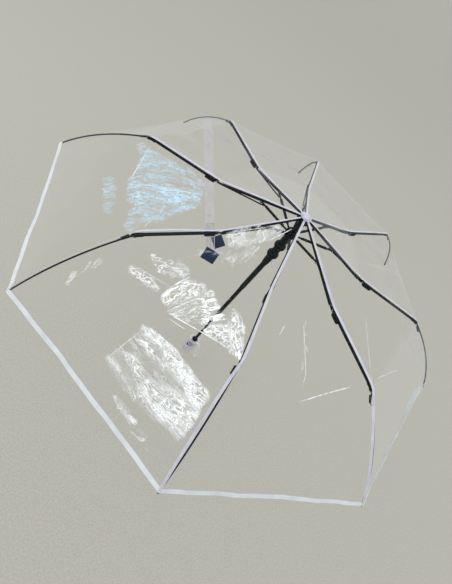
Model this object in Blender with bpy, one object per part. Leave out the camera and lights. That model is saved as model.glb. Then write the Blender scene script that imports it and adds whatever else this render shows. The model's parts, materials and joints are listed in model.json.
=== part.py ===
"""Folding umbrella, open: three-section shaft, eight three-fold ribs and a clear eight-gore canopy.

Units are metres and +Z runs up the shaft. The origin is the centre of the handle's flat base.
Every rib part is modelled in its own frame: x along the part, y across the rib's plane, z up,
with its hinge at the origin. Rib number 1 lies over +X and the others follow clockwise from above.
"""

import math

import bmesh
import bpy
from mathutils import Matrix, Vector

MM = 0.001

# Whole umbrella
CROWN_Z = 0.590
RIB_COUNT = 8
RIB_STEP = -2.0 * math.pi / RIB_COUNT

# Rib linkage: pivots in the rib's vertical plane
NOTCH_PIVOT_R = 11.5 * MM
NOTCH_PIVOT_Z = CROWN_Z - 8.0 * MM
STRETCHER_LENGTH = 77.0 * MM
TOP_RIB_LENGTH = 170.0 * MM
MID_PIVOT_LIFT = 6.5 * MM
MIDDLE_RIB_LENGTH = 153.2 * MM
OUTER_PIVOT_DROP = 3.8 * MM
OUTER_RIB_CHORD = 214.2 * MM
OUTER_RIB_BOW = 12.0 * MM
STRETCHER_CRANK = 8.0 * MM
MIDDLE_CRANK = 7.64 * MM

# Slopes below the horizontal with the umbrella open
TOP_SLOPE = math.radians(15.4)
MIDDLE_SLOPE = math.radians(1.95)
OUTER_SLOPE = math.radians(40.5)

# Rib sections
TOP_HALF_WIDTH = 2.0 * MM
TOP_BAR_BOTTOM = 1.9 * MM
TOP_BAR_TOP = 4.5 * MM
MIDDLE_BAR_TOP = 0.3 * MM
TONGUE_HALF_WIDTH = 1.3 * MM
TONGUE_LENGTH = 11.0 * MM
CHEEK_INNER = 1.6 * MM
CHEEK_OUTER = 2.6 * MM
EYE_RADIUS = 1.6 * MM
HOLE_RADIUS = 0.95 * MM
PIN_RADIUS = 0.6 * MM
BLOCK_HALF_WIDTH = 2.8 * MM
BLOCK_LENGTH = 14.0 * MM
LINK_INNER = 3.1 * MM
LINK_OUTER = 4.5 * MM
WIRE_RADIUS = 0.95 * MM
TIP_RADIUS = 1.7 * MM

# Shaft: tube radii, and depths of the tube ends below the crown
UPPER_TUBE_RADII = (6.0 * MM, 5.4 * MM)
MIDDLE_TUBE_RADII = (5.0 * MM, 4.4 * MM)
LOWER_TUBE_RADII = (4.0 * MM, 3.3 * MM)
UPPER_TUBE_DEPTHS = (2.5 * MM, 250.0 * MM)
MIDDLE_TUBE_DEPTHS = (220.0 * MM, 375.0 * MM)
LOWER_TUBE_DEPTHS = (345.0 * MM, 559.0 * MM)

# Handle
HANDLE_HEIGHT = 65.0 * MM
HANDLE_RADIUS = 17.5 * MM
BUTTON_AZIMUTH = math.radians(8.0)
BUTTON_Z = 43.0 * MM
BUTTON_RADIUS = 3.6 * MM

# Canopy
FILM_THICKNESS = 0.6 * MM
SEAM_GAP = 0.25 * MM
FILM_LIFT = 0.8 * MM
FILM_CLEARANCE = 2.6 * MM
HEM_SHARE = 0.985

# Closure strap: hangs from the seam over rib 3
STRAP_RIB = 2
STRAP_ROOT_SHARE = 0.42
STRAP_LENGTH = 270.0 * MM
STRAP_WIDTH = 24.0 * MM
STRAP_THICKNESS = 0.8 * MM
STRAP_AZIMUTH = math.radians(108.0)
STRAP_TILT = math.radians(37.6)
STRAP_TWIST = math.radians(48.4)
STRAP_ROOT_DROP = 6.0 * MM

# Tag below the strap's end: a sleeve with a card at its foot and another at its side. Outline
# corners as (across, below the strap's end), in mm.
TAG_CORNERS = [(-13.0, 0.2), (-13.0, 75.5), (-19.0, 75.5), (-19.0, 108.5), (15.0, 108.5), (15.0, 75.5)]
TAG_CORNERS += [(13.0, 75.5), (13.0, 69.0), (41.0, 69.0), (41.0, 35.0), (13.0, 35.0), (13.0, 0.2)]

# Wrist loop: half its route in mm, radially out, sideways and up, from the handle's side to the
# bottom of the bight
LOOP_AZIMUTH = math.radians(156.0)
LOOP_RADIUS = 1.4 * MM
LOOP_ROUTE = [(16.0, 2.6, 40.0), (19.0, 2.7, 40.2), (24.0, 3.2, 38.5), (29.0, 4.4, 32.0), (33.0, 6.2, 20.0)]
LOOP_ROUTE += [(35.5, 7.6, 4.0), (36.5, 7.6, -12.0), (37.0, 5.0, -24.0), (37.2, 0.0, -29.0)]

SEGMENTS = 24

# name: (colour, roughness, metallic, alpha)
FINISHES = {
    "black_steel": ((0.02, 0.022, 0.025), 0.35, 0.8, 1.0),
    "black_plastic": ((0.015, 0.016, 0.018), 0.45, 0.0, 1.0),
    "clear_film": ((0.86, 0.9, 0.88), 0.12, 0.0, 0.25),
    "white_plastic": ((0.88, 0.87, 0.9), 0.4, 0.0, 1.0),
    "clear_plastic": ((0.82, 0.82, 0.88), 0.1, 0.0, 0.5),
    "lilac_vinyl": ((0.78, 0.74, 0.84), 0.35, 0.0, 0.6),
    "navy_card": ((0.03, 0.05, 0.1), 0.6, 0.0, 1.0),
}


def clear_scene():
    for item in list(bpy.data.objects):
        bpy.data.objects.remove(item, do_unlink=True)


def make_material(name):
    colour, roughness, metallic, alpha = FINISHES[name]
    material = bpy.data.materials.new(name)
    material.use_nodes = True
    shader = material.node_tree.nodes["Principled BSDF"]
    shader.inputs["Base Color"].default_value = (*colour, 1.0)
    shader.inputs["Roughness"].default_value = roughness
    shader.inputs["Metallic"].default_value = metallic
    shader.inputs["Alpha"].default_value = alpha
    return material


def make_mesh(name, bm):
    bmesh.ops.recalc_face_normals(bm, faces=bm.faces)
    mesh = bpy.data.meshes.new(name)
    bm.to_mesh(mesh)
    bm.free()
    return mesh


def place(name, mesh, finish, matrix=None):
    """Put a mesh in the scene as the named sub-part, with a finish of its own."""
    item = bpy.data.objects.new(name, mesh)
    if not mesh.materials:
        mesh.materials.append(make_material(finish))
    item.matrix_world = matrix or Matrix()
    bpy.context.collection.objects.link(item)
    mesh.shade_smooth()
    mesh.set_sharp_from_angle(angle=math.radians(35.0))
    return item


def combine(first, second, operation):
    """Join or cut two meshes with an exact Boolean, and return the result as a new mesh."""
    body = bpy.data.objects.new("body", first)
    tool = bpy.data.objects.new("tool", second)
    for item in (body, tool):
        bpy.context.collection.objects.link(item)
    modifier = body.modifiers.new("combine", "BOOLEAN")
    modifier.operation = operation
    modifier.object = tool
    modifier.solver = "EXACT"
    bpy.context.view_layer.update()
    result = bpy.data.meshes.new_from_object(body.evaluated_get(bpy.context.evaluated_depsgraph_get()))
    for item in (body, tool):
        bpy.data.objects.remove(item, do_unlink=True)
    for mesh in (first, second):
        bpy.data.meshes.remove(mesh)
    return result


def join(*meshes):
    result = meshes[0]
    for mesh in meshes[1:]:
        result = combine(result, mesh, "UNION")
    return result


def cut(mesh, *tools):
    for tool in tools:
        mesh = combine(mesh, tool, "DIFFERENCE")
    return mesh


def arc(centre, radius, start, end, count):
    """Points on an arc in the x-z plane, angles in degrees, x towards z."""
    angles = [math.radians(start + (end - start) * i / (count - 1)) for i in range(count)]
    return [(centre[0] + radius * math.cos(a), centre[1] + radius * math.sin(a)) for a in angles]


def plate(outline, near, far):
    """A flat plate: an outline in the x-z plane, extruded from y = near to y = far."""
    bm = bmesh.new()
    face = bm.faces.new([bm.verts.new((x, near, z)) for x, z in outline])
    moved = bmesh.ops.extrude_face_region(bm, geom=[face])["geom"]
    corners = [part for part in moved if isinstance(part, bmesh.types.BMVert)]
    bmesh.ops.translate(bm, verts=corners, vec=(0.0, far - near, 0.0))
    return make_mesh("plate", bm)


def pin(x, z, radius, near, far, sides=6):
    step = 360.0 / sides
    return plate(arc((x, z), radius, 0.0, 360.0 - step, sides), near, far)


def capsule(length, radius, half_height):
    """Outline of a flat bar with a round eye at each end."""
    reach = math.degrees(math.asin(half_height / radius))
    near_eye = arc((0.0, 0.0), radius, reach, 360.0 - reach, 7)
    far_eye = arc((length, 0.0), radius, reach - 180.0, 180.0 - reach, 7)
    return near_eye + far_eye


def lathe(profile, segments=SEGMENTS):
    """Turn a closed profile of (radius, z) points about Z. Radius 0 makes one point on the axis."""
    bm = bmesh.new()
    rings = []
    for radius, z in profile:
        if radius == 0.0:
            rings.append([bm.verts.new((0.0, 0.0, z))] * segments)
            continue
        angles = [2.0 * math.pi * i / segments for i in range(segments)]
        rings.append([bm.verts.new((radius * math.cos(a), radius * math.sin(a), z)) for a in angles])
    for ring, following in zip(rings, rings[1:] + rings[:1]):
        for i in range(segments):
            j = (i + 1) % segments
            corners = [ring[i], ring[j], following[j], following[i]]
            distinct = [c for n, c in enumerate(corners) if c not in corners[:n]]
            if len(distinct) > 2:
                bm.faces.new(distinct)
    return make_mesh("lathe", bm)


def tube(radii, depths):
    outer, inner = radii
    top, bottom = (depth(value) for value in depths)
    return lathe([(outer, top), (outer, bottom), (inner, bottom), (inner, top)])


def ring_wire(radius, z, wire):
    section = arc((radius, z), wire, 0.0, 300.0, 6)
    return lathe(section)


def depth(value):
    return CROWN_Z - value


def rib_azimuth(index):
    return index * RIB_STEP


def radial_slots(inner, outer, bottom, top, width):
    """One cutter for each rib: a radial box through a ring."""
    tools = []
    for index in range(RIB_COUNT):
        box = plate([(inner, bottom), (outer, bottom), (outer, top), (inner, top)], -width / 2, width / 2)
        box.transform(Matrix.Rotation(rib_azimuth(index), 4, "Z"))
        tools.append(box)
    return tools


def slope(angle):
    """Turn about the rib's hinge axis that tips +X down by an angle."""
    return Matrix.Rotation(angle, 4, "Y")


def rib_pivots():
    """World frames, in the plane of rib 1, of every hinge of one rib."""
    top = Matrix.Translation((NOTCH_PIVOT_R, 0.0, NOTCH_PIVOT_Z)) @ slope(TOP_SLOPE)
    stretcher = top @ Matrix.Translation((STRETCHER_LENGTH, 0.0, 0.0)) @ slope(math.pi - 2.0 * TOP_SLOPE)
    middle_place = Matrix.Translation((TOP_RIB_LENGTH, 0.0, MID_PIVOT_LIFT))
    middle = top @ middle_place @ slope(MIDDLE_SLOPE - TOP_SLOPE)
    outer_place = Matrix.Translation((MIDDLE_RIB_LENGTH, 0.0, -OUTER_PIVOT_DROP))
    outer = middle @ outer_place @ slope(OUTER_SLOPE - MIDDLE_SLOPE)
    crank_pin = stretcher @ Vector((STRETCHER_CRANK, 0.0, 0.0))
    crank_end = middle @ Vector((-MIDDLE_CRANK, 0.0, 0.0))
    along = crank_end - crank_pin
    link = Matrix.Translation(crank_pin) @ slope(math.atan2(-along.z, along.x))
    return {
        "top_rib": top,
        "stretcher": stretcher,
        "link_rod": link,
        "middle_rib": middle,
        "outer_rib": outer,
        "link_length": along.length,
    }


def top_rib_mesh():
    length = TOP_RIB_LENGTH
    bar_end = length - TONGUE_LENGTH
    bar = arc((0.0, 0.0), 1.8 * MM, 100.0, 300.0, 7)
    bar += [(5.0 * MM, TOP_BAR_BOTTOM), (bar_end, TOP_BAR_BOTTOM)]
    bar += [(bar_end, TOP_BAR_TOP), (3.0 * MM, TOP_BAR_TOP)]
    eye = arc((length, MID_PIVOT_LIFT), 2.0 * MM, -20.0, 170.0, 7)
    tongue = [(bar_end - 2.0 * MM, 2.2 * MM), (length - 1.0 * MM, 2.2 * MM)]
    tongue += eye + [(length - 4.0 * MM, 4.2 * MM), (bar_end - 2.0 * MM, 4.2 * MM)]
    mesh = join(
        plate(bar, -TOP_HALF_WIDTH, TOP_HALF_WIDTH),
        plate(tongue, -TONGUE_HALF_WIDTH, TONGUE_HALF_WIDTH),
    )
    cheek = arc((STRETCHER_LENGTH, 0.0), 2.3 * MM, 180.0, 360.0, 5)
    cheek += [(STRETCHER_LENGTH + 3.0 * MM, 3.6 * MM), (STRETCHER_LENGTH - 3.0 * MM, 3.6 * MM)]
    mesh = join(
        mesh,
        plate(cheek, CHEEK_INNER, CHEEK_OUTER),
        plate(cheek, -CHEEK_OUTER, -CHEEK_INNER),
        pin(STRETCHER_LENGTH, 0.0, PIN_RADIUS, -2.2 * MM, 2.2 * MM),
    )
    return cut(
        mesh,
        pin(0.0, 0.0, 1.0 * MM, -3.0 * MM, 3.0 * MM),
        pin(length, MID_PIVOT_LIFT, 1.1 * MM, -3.0 * MM, 3.0 * MM),
    )


def stretcher_mesh():
    bar = plate(capsule(STRETCHER_LENGTH, EYE_RADIUS, 1.3 * MM), -TONGUE_HALF_WIDTH, TONGUE_HALF_WIDTH)
    crank_pin = pin(STRETCHER_CRANK, 0.0, PIN_RADIUS, -0.5 * MM, LINK_OUTER)
    return cut(join(bar, crank_pin), pin(0.0, 0.0, HOLE_RADIUS, -3.0 * MM, 3.0 * MM))


def link_rod_mesh(length):
    bar = plate(capsule(length, EYE_RADIUS, 1.2 * MM), LINK_INNER, LINK_OUTER)
    return cut(bar, pin(0.0, 0.0, HOLE_RADIUS, 0.0, 6.0 * MM))


def middle_rib_mesh():
    length = MIDDLE_RIB_LENGTH
    low = -3.4 * MM
    high = 0.7 * MM
    block = [(3.6 * MM, low), (BLOCK_LENGTH - 2.0 * MM, low), (BLOCK_LENGTH, -2.0 * MM)]
    block += [(BLOCK_LENGTH, 0.0), (BLOCK_LENGTH - 2.0 * MM, high), (3.6 * MM, high)]
    cheek = arc((0.0, 0.0), 2.4 * MM, 90.0, 270.0, 7) + [(5.0 * MM, low + 0.3 * MM), (5.0 * MM, 0.5 * MM)]
    crank_end = arc((-MIDDLE_CRANK, 0.0), 1.5 * MM, 90.0, 270.0, 5)
    crank = crank_end + [(0.0, -1.5 * MM), (0.0, 1.5 * MM)]
    bar = [(12.0 * MM, -2.3 * MM), (length - 3.2 * MM, -2.3 * MM)]
    bar += [(length - 3.2 * MM, MIDDLE_BAR_TOP), (12.0 * MM, MIDDLE_BAR_TOP)]
    fork = arc((length, -OUTER_PIVOT_DROP), 2.0 * MM, -90.0, 60.0, 5)
    fork += [(length - 2.0 * MM, 0.1 * MM), (length - 12.0 * MM, 0.1 * MM), (length - 12.0 * MM, -2.1 * MM)]
    fork += [(length - 5.0 * MM, -5.6 * MM)]
    mesh = join(
        plate(block, -BLOCK_HALF_WIDTH, BLOCK_HALF_WIDTH),
        plate(cheek, CHEEK_INNER, CHEEK_OUTER),
        plate(cheek, -CHEEK_OUTER, -CHEEK_INNER),
        plate(crank, CHEEK_INNER + 0.1 * MM, CHEEK_OUTER - 0.1 * MM),
        pin(0.0, 0.0, PIN_RADIUS, -2.1 * MM, 2.1 * MM),
        plate(bar, -1.5 * MM, 1.5 * MM),
    )
    return join(
        mesh,
        plate(fork, 1.3 * MM, 2.4 * MM),
        plate(fork, -2.4 * MM, -1.3 * MM),
        pin(length, -OUTER_PIVOT_DROP, 0.55 * MM, -2.0 * MM, 2.0 * MM),
    )


def bow_point(share):
    """A point of the outer rib's centre line in its own x-z frame, and its direction angle."""
    half = OUTER_RIB_CHORD / 2.0
    radius = (half**2 + OUTER_RIB_BOW**2) / (2.0 * OUTER_RIB_BOW)
    reach = math.asin(half / radius)
    angle = reach * (2.0 * share - 1.0)
    x = half + radius * math.sin(angle)
    z = radius * math.cos(angle) - (radius - OUTER_RIB_BOW)
    return x, z, angle


def outer_rib_mesh():
    """A bowed wire, thicker over its last few millimetres, with a flat eye at its hinge."""
    start = 1.3 * MM / OUTER_RIB_CHORD
    tip = 1.0 - 9.0 * MM / OUTER_RIB_CHORD
    stations = [(start + (tip - start) * i / 12.0, WIRE_RADIUS) for i in range(13)]
    stations += [(tip + 0.003, TIP_RADIUS), (1.0, TIP_RADIUS)]
    bm = bmesh.new()
    rings = []
    for share, radius in stations:
        x, z, angle = bow_point(share)
        centre = Vector((x, 0.0, z))
        normal = Vector((math.sin(angle), 0.0, math.cos(angle)))
        across = Vector((0.0, 1.0, 0.0))
        turns = [2.0 * math.pi * (i + 0.5) / 6 for i in range(6)]
        points = [centre + radius * (math.cos(t) * across + math.sin(t) * normal) for t in turns]
        rings.append([bm.verts.new(p) for p in points])
    for ring, following in zip(rings, rings[1:]):
        for i in range(6):
            j = (i + 1) % 6
            bm.faces.new((ring[i], ring[j], following[j], following[i]))
    bm.faces.new(rings[0])
    bm.faces.new(rings[-1])
    wire = make_mesh("wire", bm)
    eye = pin(0.0, 0.0, EYE_RADIUS, -1.0 * MM, 1.0 * MM, 8)
    return cut(join(wire, eye), pin(0.0, 0.0, 0.85 * MM, -3.0 * MM, 3.0 * MM))


def build_ribs():
    pivots = rib_pivots()
    parts = {
        "top_rib": top_rib_mesh(),
        "stretcher": stretcher_mesh(),
        "link_rod": link_rod_mesh(pivots["link_length"]),
        "middle_rib": middle_rib_mesh(),
        "outer_rib": outer_rib_mesh(),
    }
    for index in range(RIB_COUNT):
        turn = Matrix.Rotation(rib_azimuth(index), 4, "Z")
        for name, mesh in parts.items():
            place(f"{name}_{index + 1}", mesh, "black_steel", turn @ pivots[name])


def build_shaft():
    place("shaft_upper_tube", tube(UPPER_TUBE_RADII, UPPER_TUBE_DEPTHS), "black_steel")
    place("shaft_middle_tube", tube(MIDDLE_TUBE_RADII, MIDDLE_TUBE_DEPTHS), "black_steel")
    place("shaft_lower_tube", tube(LOWER_TUBE_RADII, LOWER_TUBE_DEPTHS), "black_steel")


def build_crown():
    """Slotted notch with the wire that the ribs hang on, and the cap over the canopy."""
    top = depth(3.4 * MM)
    bottom = depth(14.0 * MM)
    body = lathe([(13.2 * MM, top), (13.2 * MM, bottom), (6.3 * MM, bottom), (6.3 * MM, top)])
    body = cut(body, *radial_slots(9.2 * MM, 16.0 * MM, bottom - 1.0 * MM, top + 1.0 * MM, 4.8 * MM))
    wire = ring_wire(NOTCH_PIVOT_R, NOTCH_PIVOT_Z, 0.55 * MM)
    place("top_notch", join(body, wire), "black_plastic")
    base = depth(0.0) + 0.6 * MM
    dome = [(0.0, base + 5.0 * MM), (5.0 * MM, base + 4.6 * MM), (8.4 * MM, base + 3.0 * MM)]
    dome += [(10.0 * MM, base + 0.8 * MM), (10.0 * MM, base), (0.0, base)]
    place("top_cap", lathe(dome), "white_plastic")


def build_runner():
    """Slotted runner head that carries the stretchers, and the collared sleeve below it."""
    pivot_depth = 8.0 * MM + 2.0 * STRETCHER_LENGTH * math.sin(TOP_SLOPE)
    bore = 6.4 * MM
    profile = [(10.0 * MM, depth(pivot_depth - 7.0 * MM)), (12.9 * MM, depth(pivot_depth - 5.0 * MM))]
    profile += [(12.9 * MM, depth(pivot_depth + 6.0 * MM)), (9.0 * MM, depth(pivot_depth + 8.0 * MM))]
    profile += [(8.6 * MM, depth(pivot_depth + 26.0 * MM)), (bore, depth(pivot_depth + 26.0 * MM))]
    profile += [(bore, depth(pivot_depth - 7.0 * MM))]
    head = lathe(profile)
    slot_top = depth(pivot_depth - 9.0 * MM)
    slot_bottom = depth(pivot_depth + 9.0 * MM)
    head = cut(head, *radial_slots(9.3 * MM, 16.0 * MM, slot_bottom, slot_top, 3.6 * MM))
    place("runner", head, "black_plastic")

    start = pivot_depth + 26.3 * MM
    sleeve = [(bore, depth(start)), (8.4 * MM, depth(start))]
    for centre in (89.0 * MM, 117.0 * MM):
        sleeve += [(8.4 * MM, depth(centre - 7.0 * MM)), (11.6 * MM, depth(centre - 4.5 * MM))]
        sleeve += [(12.4 * MM, depth(centre)), (11.6 * MM, depth(centre + 4.5 * MM))]
        sleeve += [(8.4 * MM, depth(centre + 7.0 * MM))]
    sleeve += [(8.2 * MM, depth(136.0 * MM)), (6.9 * MM, depth(150.0 * MM)), (bore, depth(150.0 * MM))]
    place("runner_sleeve", lathe(sleeve), "black_plastic")


def build_handle():
    """Clear cup-shaped handle with a bore for the lower tube and a pocket for the button."""
    top = HANDLE_HEIGHT
    profile = [(0.0, 0.0), (14.5 * MM, 0.0), (16.6 * MM, 2.0 * MM), (HANDLE_RADIUS, 8.0 * MM)]
    profile += [(17.2 * MM, 20.0 * MM), (15.4 * MM, 34.0 * MM), (14.6 * MM, 46.0 * MM)]
    profile += [(15.0 * MM, 57.0 * MM), (15.4 * MM, top - 1.0 * MM), (14.6 * MM, top)]
    bore = LOWER_TUBE_RADII[0] + 0.3 * MM
    profile += [(bore, top), (bore, 30.5 * MM), (0.0, 30.5 * MM)]
    pocket = lathe([(0.0, 8.2 * MM), (4.0 * MM, 8.2 * MM), (4.0 * MM, 25.0 * MM), (0.0, 25.0 * MM)], 16)
    pocket.transform(button_frame())
    place("handle", cut(lathe(profile), pocket), "clear_plastic")
    tip = 16.4 * MM
    body = [(0.0, 10.8 * MM), (BUTTON_RADIUS, 10.8 * MM), (BUTTON_RADIUS, tip - 0.8 * MM)]
    body += [(BUTTON_RADIUS - 0.8 * MM, tip), (0.0, tip)]
    place("push_button", lathe(body, 16), "black_plastic", button_frame())


def button_frame():
    """The button's own frame: +Z points out of the handle's side."""
    turn = Matrix.Rotation(BUTTON_AZIMUTH, 4, "Z") @ Matrix.Rotation(math.pi / 2.0, 4, "Y")
    return Matrix.Translation((0.0, 0.0, BUTTON_Z)) @ turn


def seam_profile():
    """The canopy's underside along a rib, from the crown to the hem, as (radius, z) points.

    The film lies on the bars, rises over the fork at the mid pivot and follows the bowed outer rib.
    """
    pivots = rib_pivots()
    top_points = [
        (24.0 * MM, TOP_BAR_TOP + FILM_LIFT),
        (TOP_RIB_LENGTH - 21.0 * MM, TOP_BAR_TOP + FILM_LIFT),
        (TOP_RIB_LENGTH - 1.0 * MM, MID_PIVOT_LIFT + 3.0 * MM),
    ]
    middle_points = [
        (3.0 * MM, 2.6 * MM),
        (15.5 * MM, MIDDLE_BAR_TOP + FILM_LIFT),
        (MIDDLE_RIB_LENGTH - 13.0 * MM, MIDDLE_BAR_TOP + FILM_LIFT),
        (MIDDLE_RIB_LENGTH - 1.0 * MM, MIDDLE_BAR_TOP + FILM_LIFT),
    ]
    spots = [pivots["top_rib"] @ Vector((x, 0.0, z)) for x, z in top_points]
    spots += [pivots["middle_rib"] @ Vector((x, 0.0, z)) for x, z in middle_points]
    for step in range(1, 8):
        x, z, angle = bow_point(HEM_SHARE * step / 7.0)
        above = Vector((x + FILM_CLEARANCE * math.sin(angle), 0.0, z + FILM_CLEARANCE * math.cos(angle)))
        spots.append(pivots["outer_rib"] @ above)
    crown = [(6.3 * MM, depth(1.3 * MM)), (15.5 * MM, depth(2.2 * MM))]
    return crown + [(spot.x, spot.z) for spot in spots]


def gore_mesh(index):
    """One gore: film stretched straight across from one rib to the next."""
    near = Matrix.Rotation(rib_azimuth(index), 3, "Z")
    far = Matrix.Rotation(rib_azimuth(index + 1), 3, "Z")
    lift = Vector((0.0, 0.0, FILM_THICKNESS))
    bm = bmesh.new()
    rows = []
    for radius, z in seam_profile():
        left = near @ Vector((radius, -SEAM_GAP, z))
        right = far @ Vector((radius, SEAM_GAP, z))
        rows.append([bm.verts.new(corner) for corner in (left, right, right + lift, left + lift)])
    for row, following in zip(rows, rows[1:]):
        for i in range(4):
            j = (i + 1) % 4
            bm.faces.new((row[i], row[j], following[j], following[i]))
    bm.faces.new(rows[0])
    bm.faces.new(rows[-1])
    return make_mesh("gore", bm)


def build_canopy():
    for index in range(RIB_COUNT):
        place(f"canopy_panel_{index + 1}", gore_mesh(index), "clear_film")


def strap_frame():
    """Frame of the closure strap: origin at its sewn end, +X across it, -Z along its length."""
    outer = rib_pivots()["outer_rib"]
    x, z = bow_point(STRAP_ROOT_SHARE)[:2]
    root = Matrix.Rotation(rib_azimuth(STRAP_RIB), 4, "Z") @ outer @ Vector((x, 0.0, z))
    root.z -= STRAP_ROOT_DROP
    hang = Matrix.Rotation(STRAP_AZIMUTH, 4, "Z") @ Matrix.Rotation(-STRAP_TILT, 4, "Y")
    return Matrix.Translation(root) @ hang @ Matrix.Rotation(math.pi / 2.0 - STRAP_TWIST, 4, "Z")


def build_straps():
    half = STRAP_WIDTH / 2.0
    band = [(-half, -STRAP_LENGTH), (half, -STRAP_LENGTH), (half, 0.0), (-half, 0.0)]
    place("closure_strap", plate(band, 0.0, STRAP_THICKNESS), "lilac_vinyl", strap_frame())
    tag = [(x * MM, -STRAP_LENGTH - below * MM) for x, below in TAG_CORNERS]
    place("strap_tag", plate(tag, 0.0, STRAP_THICKNESS), "navy_card", strap_frame())
    build_wrist_loop()


def build_wrist_loop():
    """A limp loop that leaves the handle's side, hangs down and comes back beside itself."""
    heading = Matrix.Rotation(LOOP_AZIMUTH, 3, "Z")
    mirrored = [(x, -y, z) for x, y, z in reversed(LOOP_ROUTE[:-1])]
    points = [heading @ (Vector(p) * MM) for p in LOOP_ROUTE + mirrored]
    smooth = smooth_route(points, 2)
    curve = bpy.data.curves.new("wrist_loop", "CURVE")
    curve.dimensions = "3D"
    curve.bevel_depth = LOOP_RADIUS
    curve.bevel_resolution = 2
    curve.use_fill_caps = True
    spline = curve.splines.new("POLY")
    spline.points.add(len(smooth) - 1)
    for spot, point in zip(spline.points, smooth):
        spot.co = (*point, 1.0)
    item = bpy.data.objects.new("wrist_loop", curve)
    curve.materials.append(make_material("lilac_vinyl"))
    bpy.context.collection.objects.link(item)


def smooth_route(points, steps):
    """Points on a Catmull-Rom curve through a route, with a number of steps in each stretch."""
    ends = [points[0] * 2.0 - points[1]] + points + [points[-1] * 2.0 - points[-2]]
    smooth = []
    for a, b, c, d in zip(ends, ends[1:], ends[2:], ends[3:]):
        for step in range(steps):
            t = step / steps
            smooth.append(0.5 * (2.0 * b + (c - a) * t + (2.0 * a - 5.0 * b + 4.0 * c - d) * t**2
                                 + (3.0 * b - a - 3.0 * c + d) * t**3))
    return smooth + [points[-1]]


clear_scene()
build_shaft()
build_crown()
build_runner()
build_handle()
build_ribs()
build_canopy()
build_straps()
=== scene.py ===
"""Looks of the open folding umbrella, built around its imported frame.

Metres, +Z up the shaft. A rib's own directions are "out" (away from the shaft), "side" (about the
shaft, anticlockwise from above) and Z. Rib 1 lies over +X and the others follow clockwise.
"""

import json
import math

import bmesh
import bpy
import numpy as np
from mathutils import Matrix, Vector, noise


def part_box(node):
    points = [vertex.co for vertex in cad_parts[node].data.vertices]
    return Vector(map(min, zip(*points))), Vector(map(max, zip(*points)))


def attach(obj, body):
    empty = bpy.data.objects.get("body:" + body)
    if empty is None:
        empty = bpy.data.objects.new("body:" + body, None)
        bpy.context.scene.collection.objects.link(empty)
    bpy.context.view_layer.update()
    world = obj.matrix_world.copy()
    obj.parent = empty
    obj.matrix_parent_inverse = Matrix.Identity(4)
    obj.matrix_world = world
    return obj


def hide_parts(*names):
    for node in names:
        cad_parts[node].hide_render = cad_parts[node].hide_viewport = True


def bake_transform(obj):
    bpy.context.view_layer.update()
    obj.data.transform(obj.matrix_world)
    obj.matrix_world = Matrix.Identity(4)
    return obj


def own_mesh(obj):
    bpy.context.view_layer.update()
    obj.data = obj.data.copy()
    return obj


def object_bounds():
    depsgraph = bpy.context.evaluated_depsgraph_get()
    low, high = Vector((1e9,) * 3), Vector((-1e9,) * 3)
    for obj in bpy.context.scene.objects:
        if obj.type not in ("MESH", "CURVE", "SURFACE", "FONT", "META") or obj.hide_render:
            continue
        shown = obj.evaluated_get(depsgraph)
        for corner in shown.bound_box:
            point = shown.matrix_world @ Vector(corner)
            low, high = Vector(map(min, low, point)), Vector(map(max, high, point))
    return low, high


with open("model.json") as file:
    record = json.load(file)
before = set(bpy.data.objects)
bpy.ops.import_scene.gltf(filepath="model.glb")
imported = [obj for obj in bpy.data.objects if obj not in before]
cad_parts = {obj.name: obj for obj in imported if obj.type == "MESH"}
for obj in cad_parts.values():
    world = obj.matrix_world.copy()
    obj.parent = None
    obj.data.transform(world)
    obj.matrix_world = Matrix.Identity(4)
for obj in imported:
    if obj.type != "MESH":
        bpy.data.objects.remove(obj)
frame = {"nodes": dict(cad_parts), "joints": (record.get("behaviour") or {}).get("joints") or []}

CAD_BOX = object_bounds()
JOINTS = {joint["name"]: joint for joint in frame["joints"]}
MM = 0.001
# Faces that meet at more than this many degrees keep a sharp edge, unless their piece says otherwise
SHARP_ANGLE = 40.0

# Ribs, from the frame's joints and from the driving sizes of its parts
RIB_COUNT = 8
HALF_STEP = math.pi / RIB_COUNT
CROWN_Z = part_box("shaft_upper_tube")[1].z + 2.5 * MM
NOTCH_PIVOT = Vector(JOINTS["top_rib_hinge_1"]["pos_m"])
STRETCHER_PIVOT = Vector(JOINTS["stretcher_hinge_1"]["pos_m"])
MIDDLE_PIVOT = Vector(JOINTS["middle_rib_hinge_1"]["pos_m"])
OUTER_PIVOT = Vector(JOINTS["outer_rib_hinge_1"]["pos_m"])
OUTER_PIVOT_DROP = 3.8 * MM
OUTER_RIB_CHORD = 214.2 * MM
OUTER_RIB_BOW = 12.0 * MM
WIRE_RADIUS = 1.4 * MM
EYE_RADIUS = 1.6 * MM
EYE_WIDTH = 2.0 * MM
RIVET_RADIUS = 1.15 * MM
# A rivet head's height as a share of its radius
RIVET_DOME = 0.45
OUTER_SLOPE = math.radians(40.5)


def slope_between(start, end):
    return math.atan2(start.z - end.z, end.x - start.x)


MIDDLE_LENGTH = math.sqrt((OUTER_PIVOT - MIDDLE_PIVOT).length_squared - OUTER_PIVOT_DROP**2)
TOP_SLOPE = slope_between(NOTCH_PIVOT, STRETCHER_PIVOT)
MIDDLE_SLOPE = slope_between(MIDDLE_PIVOT, OUTER_PIVOT) - math.atan2(OUTER_PIVOT_DROP, MIDDLE_LENGTH)

# Camera: over the front of the open canopy, looking down at its crown
CAMERA_PLACE = Vector((0.5767, 0.3644, 1.0014))
CAMERA_LOOK = Vector((-0.5742, -0.3879, -0.7210))
CAMERA_UP = Vector((-0.0817, -0.8491, 0.5219))
CAMERA_LENS = 25.07

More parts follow.
